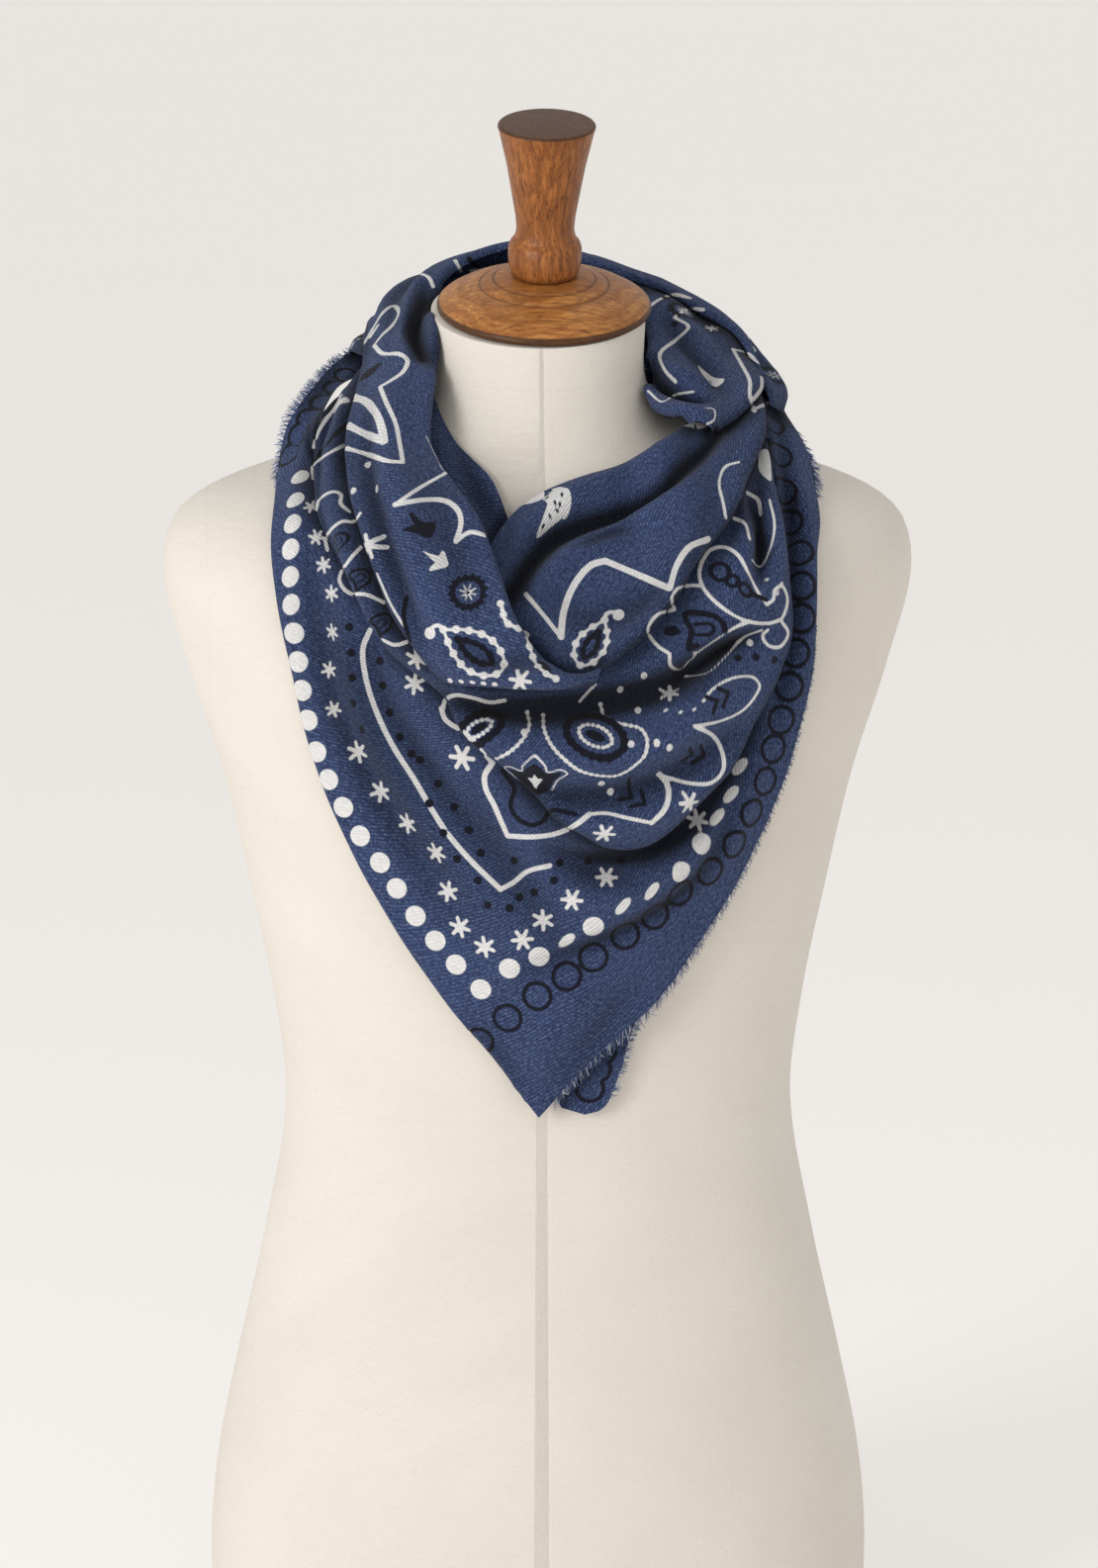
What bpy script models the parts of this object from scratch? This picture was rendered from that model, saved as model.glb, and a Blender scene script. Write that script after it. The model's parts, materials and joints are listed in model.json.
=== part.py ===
"""Frayed edge scarf worn on a limbless dress form.

A square of printed twill is folded to a triangle and wound once round the neck of a tailor's form, so that its
point hangs on the chest, its folded edge falls in a cowl and its ends cross behind the nape.
Units are metres, +Z is up, -Y is the front. The origin is the middle of the form's flat base.
"""
import math
from collections import namedtuple

import bmesh
import bpy
import numpy as np
from mathutils import Matrix, Vector
from mathutils.bvhtree import BVHTree

MM = 0.001

# ---------------------------------------------------------------- driving dimensions
CLOTH_WALL = 1.2 * MM
PIECE_GAP = 0.3 * MM
LAYER_GAP = 1.0 * MM
EDGE_ALLOWANCE = 7.0 * MM        # cloth used up by the roll of a folded edge
EDGE_SHARE = 0.28                # or this share of the stretch's width, where that is less
EDGE_STEPS = 2
NARROW_END = 32.0 * MM           # a stretch narrower than this turns its edges under less
CLEAR_STEP = 0.7 * MM            # each round of clearing lifts what still touches by this
CLEAR_ROUNDS = 40
CORE_TOP = 0.58                  # the layers lie outward from a core that ends at this height
CORE_SPREAD = 0.5                # the core is half as wide as the cloth round it

CAP_TILT = math.radians(16.5)    # the neck is cut off sloping down to the front
NECK_CENTRE = Vector((0.003, 0.0, 0.711))

FRAY_LENGTH = 6.0 * MM
FRAY_PITCH = 9.0 * MM
FRAY_BACKING = 2.0 * MM
FRAY_LIFT = 0.3                  # how much a frayed edge stands away from what it lies on

# ---------------------------------------------------------------- the form
Section = namedtuple("Section", "front_z side_z back_z half_width front_depth back_depth")
FORM_SECTIONS = [
    Section(0.000, 0.000, 0.000, 0.1665, 0.098, 0.112),
    Section(0.012, 0.012, 0.012, 0.1720, 0.103, 0.117),
    Section(0.050, 0.050, 0.050, 0.1752, 0.105, 0.119),
    Section(0.103, 0.103, 0.103, 0.1712, 0.104, 0.115),
    Section(0.155, 0.155, 0.155, 0.1609, 0.101, 0.104),
    Section(0.226, 0.226, 0.226, 0.1451, 0.095, 0.092),
    Section(0.2975, 0.2975, 0.2975, 0.1336, 0.090, 0.084),
    Section(0.352, 0.352, 0.352, 0.1396, 0.094, 0.088),
    Section(0.412, 0.412, 0.412, 0.1518, 0.102, 0.094),
    Section(0.470, 0.470, 0.470, 0.1650, 0.108, 0.100),
    Section(0.529, 0.529, 0.529, 0.1836, 0.106, 0.104),
    Section(0.570, 0.584, 0.590, 0.1955, 0.097, 0.103),
    Section(0.594, 0.607, 0.616, 0.1880, 0.088, 0.096),
    Section(0.617, 0.634, 0.641, 0.1300, 0.076, 0.082),
    Section(0.640, 0.657, 0.668, 0.0680, 0.064, 0.066),
    Section(0.660, 0.674, 0.686, 0.0565, 0.0575, 0.0575),
    Section(0.6952, 0.711, 0.7268, 0.0556, 0.0533, 0.0533),
]
FORM_RINGS = 28
FORM_SIDES = 36

# ---------------------------------------------------------------- turned wood, radius and height in mm
Turn = namedtuple("Turn", "radius height")
CAP_PROFILE = [
    Turn(53.6, 0.0), Turn(55.6, 1.2), Turn(55.6, 3.6), Turn(53.6, 5.6), Turn(46.8, 9.6), Turn(39.5, 12.6),
    Turn(34.0, 14.0), Turn(33.3, 13.6), Turn(32.4, 15.0), Turn(27.0, 17.0), Turn(26.2, 16.6), Turn(25.4, 18.0),
    Turn(17.7, 19.4),
]
HANDLE_PROFILE = [
    Turn(16.8, 0.0), Turn(18.3, 4.0), Turn(19.1, 9.0), Turn(19.1, 14.8), Turn(17.9, 18.1), Turn(15.8, 20.5),
    Turn(14.9, 25.0), Turn(15.6, 32.5), Turn(20.2, 59.0), Turn(24.5, 77.8), Turn(25.4, 80.4), Turn(24.4, 81.5),
]
TURNED_SIDES = 28

# ---------------------------------------------------------------- the cloth, in mm
# Each stretch runs from station to station. A station has the stretch's inner edge (ix, iy, iz), its outer
# edge (ox, oy, oz) and how far the outer edge turns under, in degrees: 0 is a raw edge that lies flat.
Station = namedtuple("Station", "ix iy iz ox oy oz turn")
# A crease runs across a stretch between two places, each the share along it and the share across it.
Crease = namedtuple("Crease", "along0 across0 along1 across1 height width")

UNDER_CORNER = [
    Station(14, -99, 368, 48, -96, 362, 0),
    Station(15, -99, 348, 42, -96, 345, 0),
    Station(9, -98, 328, 37, -96, 327, 0),
    Station(5, -97, 314, 28, -96, 308, 0),
    Station(7, -97, 309, 19, -96, 305, 0),
]
FRONT_PANEL = [
    Station(-66, 66, 690, -73, 72, 698, 0),
    Station(-84, 42, 680, -94, 48, 688, 0),
    Station(-98, 10, 668, -112, 15, 678, 0),
    Station(-106, -15, 655, -126, -8, 662, 0),
    Station(-106, -38, 638, -135, -14, 640, 20),
    Station(-97, -78, 614, -141, -65, 605, 110),
    Station(-86, -99, 581, -139, -78, 573, 110),
    Station(-70, -108, 557, -132, -83, 538, 110),
    Station(-52, -117, 540, -121, -86, 491, 110),
    Station(-37, -124, 528, -104, -91, 448, 110),
    Station(-23, -129, 511, -77, -97, 399, 110),
    Station(-8, -132, 497, -43, -101, 351, 100),
    Station(6, -132, 487, -5, -102, 305, 0),
    Station(21, -131, 471, 26, -104, 338, 0),
    Station(39, -127, 472, 57, -101, 367, 0),
    Station(56, -122, 482, 82, -96, 401, 0),
    Station(75, -116, 509, 109, -90, 447, 0),
    Station(90, -108, 535, 129, -86, 501, 0),
    Station(99, -100, 562, 137, -84, 552, 60),
    Station(100, -91, 594, 138, -80, 579, 110),
    Station(104, -62, 617, 140, -50, 609, 110),
    Station(108, -38, 638, 136, -22, 640, 110),
    Station(106, -8, 655, 129, 4, 663, 110),
    Station(98, 26, 670, 117, 38, 680, 110),
    Station(84, 55, 686, 96, 66, 696, 110),
]
TIP_STATION = 12
PANEL_CREASES = [
    Crease(0.24, 0.62, 0.44, 0.66, -3.0, 14),
    Crease(0.56, 0.30, 0.72, 0.45, 3.0, 12),
]
MID_SWAG = [
    Station(-58, 54, 694, -68, 62, 702, 110),
    Station(-72, 28, 684, -84, 36, 690, 110),
    Station(-84, 0, 672, -98, 5, 675, 110),
    Station(-92, -28, 658, -113, -24, 656, 110),
    Station(-92, -60, 633, -119, -45, 638, 110),
    Station(-82, -98, 606, -116, -79, 609, 110),
    Station(-73, -115, 578, -104, -97, 581, 110),
    Station(-60, -124, 559, -85, -110, 551, 110),
    Station(-48, -128, 547, -65, -119, 532, 110),
    Station(-37, -130, 542, -50, -127, 515, 110),
    Station(-26, -132, 539, -34, -133, 498, 110),
    Station(-15, -133, 539, -18, -135, 483, 100),
    Station(-4, -133, 538, 2, -134, 467, 80),
    Station(9, -133, 539, 26, -130, 448, 80),
    Station(21, -131, 545, 49, -127, 448, 100),
    Station(34, -128, 556, 74, -122, 467, 110),
    Station(46, -122, 572, 97, -115, 497, 110),
    Station(59, -115, 589, 115, -108, 528, 110),
    Station(73, -103, 608, 125, -100, 552, 110),
    Station(84, -85, 626, 124, -94, 584, 110),
    Station(95, -64, 640, 119, -70, 617, 110),
    Station(96, -38, 652, 115, -42, 647, 110),
    Station(96, -8, 664, 111, -12, 662, 110),
    Station(90, 28, 678, 103, 26, 680, 110),
    Station(78, 54, 690, 88, 58, 694, 110),
]
SWAG_CREASES = [
    Crease(0.70, 0.20, 0.84, 0.75, -4.0, 7),
    Crease(0.52, 0.55, 0.70, 0.65, 3.0, 12),
]
INNER_LEFT = [
    Station(-54, -20, 689, -80, -26, 664, 0),
    Station(-55, -34, 670, -84, -52, 642, 0),
    Station(-46, -52, 651, -80, -76, 616, 0),
    Station(-37, -62, 641, -70, -92, 598, 0),
    Station(-27, -72, 630, -58, -104, 582, 0),
    Station(-21, -84, 616, -42, -114, 574, 0),
    Station(-16, -96, 601, -26, -120, 572, 0),
]
COWL = [
    Station(-40, -116, 582, -58, -134, 550, 110),
    Station(-31, -108, 600, -41, -138, 540, 110),
    Station(-18, -88, 616, -19, -142, 537, 110),
    Station(-2, -78, 626, 6, -143, 537, 110),
    Station(21, -70, 633, 26, -141, 543, 110),
    Station(43, -62, 638, 48, -136, 561, 110),
    Station(58, -68, 648, 70, -125, 589, 110),
    Station(71, -52, 654, 92, -99, 615, 110),
    Station(79, -38, 660, 107, -62, 638, 110),
    Station(86, -14, 667, 110, -28, 652, 110),
    Station(85, 12, 676, 106, 8, 664, 110),
]
COWL_CREASES = [
    Crease(0.18, 0.45, 0.45, 0.32, -9.0, 7),
    Crease(0.45, 0.32, 0.85, 0.42, -9.0, 7),
]
RIGHT_CREST = [
    Station(14, 72, 708, 30, 98, 690, 110),
    Station(38, 64, 720, 60, 88, 700, 110),
    Station(55, 42, 714, 86, 60, 696, 110),
    Station(57, 12, 698, 103, 34, 684, 110),
    Station(55, -12, 683, 110, 10, 674, 110),
    Station(54, -34, 669, 109, -16, 660, 110),
    Station(60, -48, 659, 98, -42, 652, 110),
    Station(71, -58, 652, 86, -56, 648, 110),
]
BACK_UNDER = [
    Station(-84, -24, 660, -118, -32, 640, 0),
    Station(-74, 5, 676, -124, 2, 644, 0),
    Station(-62, 42, 688, -106, 62, 634, 0),
    Station(-40, 60, 694, -66, 98, 622, 0),
    Station(0, 68, 698, -4, 106, 612, 0),
    Station(40, 60, 694, 62, 100, 618, 0),
    Station(62, 42, 686, 108, 62, 636, 0),
    Station(76, 10, 675, 130, 12, 650, 0),
    Station(88, -25, 658, 142, -25, 627, 0),
    Station(96, -50, 630, 139, -50, 608, 0),
]
BACK_OVER = [
    Station(-64, 10, 688, -86, 16, 674, 60),
    Station(-58, 32, 698, -94, 48, 662, 60),
    Station(-40, 54, 706, -66, 92, 646, 60),
    Station(0, 66, 710, -2, 108, 636, 60),
    Station(40, 54, 706, 64, 92, 642, 60),
    Station(58, 32, 697, 96, 50, 656, 60),
    Station(66, 10, 686, 98, 18, 668, 60),
]
LEFT_STRAND = [
    Station(111, -16, 652, 117, -14, 646, 110),
    Station(110, 2, 670, 122, 12, 652, 110),
    Station(99, 26, 693, 118, 44, 664, 110),
    Station(79, 44, 712, 102, 72, 676, 110),
    Station(54, 58, 724, 76, 92, 684, 110),
    Station(28, 68, 736, 44, 104, 692, 110),
    Station(0, 74, 744, -2, 108, 694, 110),
    Station(-30, 68, 738, -50, 96, 694, 110),
    Station(-49, 46, 725, -80, 64, 690, 110),
    Station(-55, 12, 706, -87, 28, 687, 110),
    Station(-52, -22, 687, -94, -16, 671, 110),
    Station(-56, -52, 666, -100, -48, 652, 110),
    Station(-56, -72, 648, -101, -74, 632, 110),
    Station(-46, -98, 630, -95, -104, 604, 110),
    Station(-35, -115, 613, -85, -118, 579, 110),
    Station(-26, -130, 589, -73, -127, 557, 110),
    Station(-18, -140, 568, -63, -135, 541, 110),
    Station(-9, -145, 554, -53, -141, 534, 110),
    Station(1, -148, 547, -34, -144, 534, 110),
    Station(12, -149, 542, -4, -146, 534, 110),
    Station(24, -147, 545, 20, -147, 534, 110),
]


# ---------------------------------------------------------------- helpers
def clear_scene():
    for item in list(bpy.data.objects):
        bpy.data.objects.remove(item, do_unlink=True)


def material(name, colour, roughness):
    made = bpy.data.materials.new(name)
    made.use_nodes = True
    shader = made.node_tree.nodes["Principled BSDF"]
    shader.inputs["Base Color"].default_value = (*colour, 1.0)
    shader.inputs["Roughness"].default_value = roughness
    shader.inputs["Metallic"].default_value = 0.0
    return made


def mesh_object(name, points, faces, surface):
    mesh = bpy.data.meshes.new(name)
    mesh.from_pydata([tuple(point) for point in points], [], [tuple(face) for face in faces])
    mesh.materials.append(surface)
    made = bpy.data.objects.new(name, mesh)
    bpy.context.collection.objects.link(made)
    mesh.shade_smooth()
    mesh.set_sharp_from_angle(angle=math.radians(50))
    return made


def hermite(rows, marks, places, left_slopes, right_slopes):
    """Values at each place on the smooth curve through the rows, which stand at the marks."""
    step = np.clip(np.searchsorted(marks, places, side="right") - 1, 0, len(marks) - 2)
    span = (marks[step + 1] - marks[step])[:, None]
    f = ((places - marks[step])[:, None]) / span
    start = rows[step] * (2 * f ** 3 - 3 * f ** 2 + 1) + right_slopes[step] * span * (f ** 3 - 2 * f ** 2 + f)
    end = rows[step + 1] * (3 * f ** 2 - 2 * f ** 3) + left_slopes[step + 1] * span * (f ** 3 - f ** 2)
    return start + end


def through(rows, marks, places, corner=None, corner_columns=slice(0, 0)):
    """The rows' smooth curve at the places. At the corner row the named columns turn sharply."""
    chord = np.diff(rows, axis=0) / np.diff(marks)[:, None]
    slopes = np.vstack([chord[:1], (chord[:-1] + chord[1:]) / 2, chord[-1:]])
    left_slopes = slopes.copy()
    right_slopes = slopes.copy()
    if corner is not None:
        left_slopes[corner, corner_columns] = chord[corner - 1, corner_columns]
        right_slopes[corner, corner_columns] = chord[corner, corner_columns]
    return hermite(rows, marks, places, left_slopes, right_slopes)


def unit(vectors):
    return vectors / np.maximum(np.linalg.norm(vectors, axis=-1, keepdims=True), 1e-12)


def core_of(points):
    """The place on the core that each point lies out from."""
    return np.stack([points[..., 0] * CORE_SPREAD, points[..., 1] * 0,
                     np.minimum(points[..., 2], CORE_TOP)], axis=-1)


def grid_normals(points):
    """Normals of a grid of points, all on the side away from the core."""
    normals = unit(np.cross(np.gradient(points, axis=0), np.gradient(points, axis=1)))
    outward = np.sum(normals * (points - core_of(points)), axis=-1).sum()
    return normals if outward > 0 else -normals


def spread(field):
    """A field smoothed over its grid, and never lowered by that."""
    for _ in range(3):
        padded = np.pad(field, 1, mode="edge")
        near = [padded[1 + i:padded.shape[0] - 1 + i, 1 + j:padded.shape[1] - 1 + j]
                for i in (-1, 0, 1) for j in (-1, 0, 1)]
        field = np.maximum(field, sum(near) / len(near))
    return field


def settle(points, below, gap):
    """Points moved out from the core until they are clear of what lies below them."""
    core = core_of(points)
    reach = np.linalg.norm(points - core, axis=-1)
    way = unit(points - core)
    lift = np.zeros(reach.shape)
    search = 0.25
    for place in np.ndindex(reach.shape):
        direction = Vector(way[place])
        start = Vector(core[place]) + direction * (reach[place] + search)
        hit = below.ray_cast(start, -direction, reach[place] + search)[0]
        if hit is not None:
            lift[place] = max(0.0, (hit - Vector(core[place])).length + gap - reach[place])
    return points + way * spread(lift)[..., None]


class Layers:
    """Everything built so far that the next stretch of cloth lies on."""

    def __init__(self):
        self.points = []
        self.faces = []

    def add(self, made):
        start = len(self.points)
        self.points += [made.matrix_world @ vertex.co for vertex in made.data.vertices]
        self.faces += [[start + index for index in face.vertices] for face in made.data.polygons]

    def tree(self):
        return BVHTree.FromPolygons(self.points, self.faces)


def crease_heights(points, creases):
    """How far each point of a stretch is raised by its creases."""
    height = np.zeros(points.shape[:2])
    last = np.array(points.shape[:2]) - 1
    for crease in creases:
        share = np.linspace(0, 1, 13)
        along = crease.along0 + (crease.along1 - crease.along0) * share
        across = crease.across0 + (crease.across1 - crease.across0) * share
        line = points[np.rint(along * last[0]).astype(int), np.rint(across * last[1]).astype(int)]
        fade = np.sin(math.pi * np.clip(share, 0.04, 0.96)) ** 0.5
        away = np.linalg.norm(points[:, :, None] - line, axis=-1)
        nearest = away.argmin(axis=-1)
        distance = np.take_along_axis(away, nearest[..., None], axis=-1)[..., 0]
        height += crease.height * MM * fade[nearest] * np.exp(-(distance / (crease.width * MM)) ** 2)
    return height


def drape(stations, columns, rows, below, bulge=0.0, creases=(), corner=None, gap=LAYER_GAP, inner_turn=0.0):
    """The outer face of a stretch as a grid of points, columns along it and rows across it."""
    table = np.array(stations, dtype=float)
    table[:, :6] *= MM
    middle = np.linalg.norm(np.diff(table[:, :3], axis=0), axis=1)
    rim = np.linalg.norm(np.diff(table[:, 3:6], axis=0), axis=1)
    marks = np.concatenate([[0], np.cumsum(middle + rim)])
    if corner is None:
        places = np.linspace(0, marks[-1], columns)
    else:
        before = round(columns * marks[corner] / marks[-1])
        places = np.concatenate([np.linspace(0, marks[corner], before),
                                 np.linspace(marks[corner], marks[-1], columns - before + 1)[1:]])
    lines = through(table, marks, places, corner, slice(3, 6))
    inner = lines[:, None, 0:3]
    outer = lines[:, None, 3:6]
    width = np.linalg.norm(outer - inner, axis=-1)
    allowance = np.minimum(EDGE_ALLOWANCE, EDGE_SHARE * width[:, 0])
    ease = np.clip(width[:, 0] / NARROW_END, 0, 1)
    turn_out = np.radians(np.clip(lines[:, 6], 0, None)) * ease
    turn_in = math.radians(inner_turn) * ease
    kept_out = turn_reach(turn_out, allowance) / width[:, 0]
    kept_in = turn_reach(turn_in, allowance) / width[:, 0] if inner_turn else turn_in
    share = np.linspace(0, 1, rows)[None, :]
    v = (kept_in[:, None] + (1 - kept_out - kept_in)[:, None] * share)[..., None]
    face = inner * (1 - v) + outer * v
    face = face + grid_normals(face) * (bulge * MM * 4 * v * (1 - v) * ease[:, None, None])
    face = face + grid_normals(face) * crease_heights(face, creases)[..., None]
    face = settle(face, below, gap)
    parts = [face, turned_edge(face, turn_out, allowance)]
    if inner_turn:
        parts.insert(0, turned_edge(face[:, ::-1], turn_in, allowance)[:, ::-1])
    return clear(np.concatenate(parts, axis=1), below)


def turn_reach(angle, allowance):
    """How far a turned edge reaches past the place where it starts to turn."""
    angle = np.maximum(angle, 1e-3)
    return allowance / angle * np.sin(np.minimum(angle, math.pi / 2))


def turned_edge(face, angle, allowance):
    """The rows of points that carry a face on round its turned edge."""
    normals = grid_normals(face)[:, -1]
    side = unit(face[:, -1] - face[:, -2])
    side = unit(side - normals * np.sum(side * normals, axis=-1, keepdims=True))
    radius = (allowance / np.maximum(angle, 1e-3))[:, None]
    rows = []
    for step in range(1, EDGE_STEPS + 1):
        part = (np.maximum(angle, 1e-3) * step / EDGE_STEPS)[:, None]
        rows.append(face[:, -1] + radius * (np.sin(part) * side - (1 - np.cos(part)) * normals))
    return np.stack(rows, axis=1)


def clear(face, below):
    """A face whose wall, and a little space round it, meets nothing below it."""
    for _ in range(CLEAR_ROUNDS):
        points, quads = wall_shape(face, CLOTH_WALL + PIECE_GAP)
        touching = BVHTree.FromPolygons([Vector(point) for point in points], quads).overlap(below)
        if not touching:
            break
        lift = np.zeros(face.shape[:2])
        for quad in {pair[0] for pair in touching}:
            for index in quads[quad]:
                lift[np.unravel_index(index % lift.size, lift.shape)] = CLEAR_STEP
        face = face + unit(face - core_of(face)) * spread(lift)[..., None]
    return face


def wall_shape(face, thickness):
    """Points and quads of the closed wall between a face and the same face moved in by a thickness."""
    columns, rows = face.shape[:2]
    inside = face - grid_normals(face) * thickness
    points = np.concatenate([face.reshape(-1, 3), inside.reshape(-1, 3)])
    number = np.arange(columns * rows).reshape(columns, rows)
    under = number + columns * rows
    quads = []
    for i in range(columns - 1):
        for j in range(rows - 1):
            quads.append((number[i, j], number[i + 1, j], number[i + 1, j + 1], number[i, j + 1]))
            quads.append((under[i, j], under[i, j + 1], under[i + 1, j + 1], under[i + 1, j]))
    ring = [*number[:, 0], *number[-1, 1:], *number[-2::-1, -1], *number[0, -2:0:-1]]
    for start, end in zip(ring, ring[1:] + ring[:1]):
        quads.append((end, start, start + columns * rows, end + columns * rows))
    return points, [tuple(int(index) for index in quad) for quad in quads]


def face_outward(made):
    """Turns an object's faces so that they all point out of it."""
    shape = bmesh.new()
    shape.from_mesh(made.data)
    bmesh.ops.recalc_face_normals(shape, faces=shape.faces)
    shape.to_mesh(made.data)
    shape.free()
    return made


# ---------------------------------------------------------------- the form and its wooden top
def form_ring(section, sides):
    """One closed ring of the form, with its front, sides and back at their own heights."""
    ring = []
    for step in range(sides):
        angle = 2 * math.pi * step / sides
        ahead = math.cos(angle)
        tilt = (section[0] - section[2]) / 2
        sag = (section[0] + section[2]) / 2 - section[1]
        depth = section[4] if ahead > 0 else section[5]
        ring.append((section[3] * math.sin(angle), -depth * ahead, section[1] + tilt * ahead + sag * ahead ** 2))
    return ring


def dress_form(surface):
    table = np.array(FORM_SECTIONS)
    rise = np.linalg.norm(np.diff(table[:, [1, 3]], axis=0), axis=1)
    marks = np.concatenate([[0], np.cumsum(rise)])
    sections = through(table, marks, np.linspace(0, marks[-1], FORM_RINGS))
    points = [point for section in sections for point in form_ring(section, FORM_SIDES)]
    faces = []
    for ring in range(FORM_RINGS - 1):
        for step in range(FORM_SIDES):
            first = ring * FORM_SIDES + step
            second = ring * FORM_SIDES + (step + 1) % FORM_SIDES
            faces.append((first, second, second + FORM_SIDES, first + FORM_SIDES))
    faces.append(tuple(reversed(range(FORM_SIDES))))
    faces.append(tuple(range((FORM_RINGS - 1) * FORM_SIDES, FORM_RINGS * FORM_SIDES)))
    return mesh_object("dress_form", points, faces, surface)


def turned_piece(name, profile, base_height, surface):
    """A piece turned on a lathe, standing on the sloping top of the neck."""
    shape = bmesh.new()
    ends = [Turn(0.0, profile[0].height)] + profile + [Turn(0.0, profile[-1].height)]
    corners = [shape.verts.new((turn.radius * MM, 0.0, turn.height * MM + base_height)) for turn in ends]
    edges = [shape.edges.new(pair) for pair in zip(corners, corners[1:])]
    bmesh.ops.spin(shape, geom=corners + edges, axis=(0, 0, 1), cent=(0, 0, 0), angle=2 * math.pi,
                   steps=TURNED_SIDES, use_merge=True)
    bmesh.ops.remove_doubles(shape, verts=shape.verts, dist=1e-6)
    bmesh.ops.recalc_face_normals(shape, faces=shape.faces)
    mesh = bpy.data.meshes.new(name)
    shape.to_mesh(mesh)
    shape.free()
    mesh.transform(Matrix.Translation(NECK_CENTRE) @ Matrix.Rotation(CAP_TILT, 4, "X"))
    mesh.materials.append(surface)
    mesh.shade_smooth()
    mesh.set_sharp_from_angle(angle=math.radians(35))
    made = bpy.data.objects.new(name, mesh)
    bpy.context.collection.objects.link(made)
    return made


# ---------------------------------------------------------------- frayed edges
def fringe(name, face, first, last, surface, length=FRAY_LENGTH):
    """Tapered strands on a narrow strip that lies just past the raw edge of a stretch."""
    low, high = (round(share * (len(face) - 1)) for share in (first, last))
    rim = face[low:high + 1, -1]
    out = unit(unit(rim - face[low:high + 1, -2]) + FRAY_LIFT * unit(rim - core_of(rim)))
    walked = np.concatenate([[0], np.cumsum(np.linalg.norm(np.diff(rim, axis=0), axis=1))])
    strands = max(2, int(walked[-1] / FRAY_PITCH))
    cuts = np.linspace(0, walked[-1], 2 * strands + 1)
    line = np.stack([np.interp(cuts, walked, rim[:, axis]) for axis in range(3)], axis=-1)
    way = unit(np.stack([np.interp(cuts, walked, out[:, axis]) for axis in range(3)], axis=-1))
    along = unit(np.gradient(line, axis=0))
    lift = np.cross(along, way)
    lift = unit(lift * np.sign(np.sum(lift * (line - core_of(line)), axis=-1, keepdims=True)))
    thick = CLOTH_WALL * 0.8
    near = line + way * PIECE_GAP
    far = line + way * (PIECE_GAP + FRAY_BACKING)
    corners = [near, far, far - lift * thick, near - lift * thick]
    points = [tuple(corner[i]) for i in range(len(line)) for corner in corners]
    faces = [(0, 1, 2, 3), tuple(4 * (len(line) - 1) + k for k in (3, 2, 1, 0))]
    for i in range(len(line) - 1):
        for k in range(4):
            a, b = 4 * i + k, 4 * i + (k + 1) % 4
            quad = (a, a + 4, b + 4, b)
            if k == 1 and i % 2 == 0:
                points.append(strand_tip(far, way, along, lift, i, length, thick))
                tip = len(points) - 1
                faces += [(quad[n], quad[(n + 1) % 4], tip) for n in range(4)]
            else:
                faces.append(quad)
    return face_outward(mesh_object(name, points, faces, surface))


def strand_tip(far, way, along, lift, i, length, thick):
    """The free end of one strand. Their lengths and leans follow two slow waves, so no two neighbours match."""
    reach = length * (0.82 + 0.18 * math.sin(2.3 * i)) - FRAY_BACKING
    lean = 0.35 * math.sin(1.7 * i)
    root = (far[i] + far[i + 1]) / 2 - lift[i] * thick / 2
    return tuple(root + way[i] * reach + along[i] * reach * lean)


# ---------------------------------------------------------------- the whole part
def build():
    clear_scene()
    linen = material("form_linen", (0.80, 0.74, 0.64), 0.85)
    wood = material("turned_wood", (0.30, 0.14, 0.06), 0.45)
    twill = material("scarf_twill", (0.06, 0.09, 0.20), 0.85)
    fray = material("frayed_edge", (0.12, 0.17, 0.32), 0.9)
    layers = Layers()
    layers.add(dress_form(linen))
    layers.add(turned_piece("neck_cap", CAP_PROFILE, PIECE_GAP, wood))
    turned_piece("cap_handle", HANDLE_PROFILE, CAP_PROFILE[-1].height * MM + 2 * PIECE_GAP, wood)

    def stretch(name, stations, columns, rows, **shape):
        face = drape(stations, columns, rows, layers.tree(), **shape)
        layers.add(face_outward(mesh_object(name, *wall_shape(face, CLOTH_WALL), twill)))
        return face

    fold_gap = 5.0 * MM
    under = stretch("under_corner", UNDER_CORNER, 8, 5, gap=3 * MM)
    back = stretch("back_under", BACK_UNDER, 26, 5, bulge=6, gap=3 * MM)
    panel = stretch("front_panel", FRONT_PANEL, 52, 8, bulge=2, creases=PANEL_CREASES, corner=TIP_STATION,
                    gap=fold_gap)
    stretch("mid_swag", MID_SWAG, 44, 7, bulge=5, creases=SWAG_CREASES, gap=fold_gap)
    stretch("back_over", BACK_OVER, 22, 5, bulge=7, gap=fold_gap)
    stretch("inner_left", INNER_LEFT, 12, 5, bulge=2, gap=2.5 * MM)
    stretch("cowl", COWL, 24, 9, bulge=4, creases=COWL_CREASES, gap=fold_gap, inner_turn=110)
    stretch("right_crest", RIGHT_CREST, 15, 6, bulge=9, gap=fold_gap, inner_turn=110)
    stretch("left_strand", LEFT_STRAND, 42, 6, bulge=9, gap=fold_gap, inner_turn=110)
    fringe("fringe_point", panel, 0.53, 0.76, fray)
    fringe("fringe_left_shoulder", panel, 0.07, 0.14, fray, length=8 * MM)
    fringe("fringe_back", back, 0.10, 0.80, fray)
    fringe("fringe_right_shoulder", back, 0.84, 0.97, fray, length=8 * MM)
    fringe("fringe_under_corner", under, 0.1, 0.75, fray, length=4 * MM)


build()
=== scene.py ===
"""The looks of the frayed edge scarf and of the dress form it is wound on.

The cloth stretches are draped again from the same sizes as the solids, at a finer pitch, with their folds,
print, weave and loose ends. Lengths are metres unless a comment says mm; +Z is up and -Y is the front, as in
the frame. A place given as px, py is where it is seen in the 1110 x 1585 picture; the cloth there is found by
a line of sight.
"""
import json
import math
from collections import namedtuple

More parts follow.
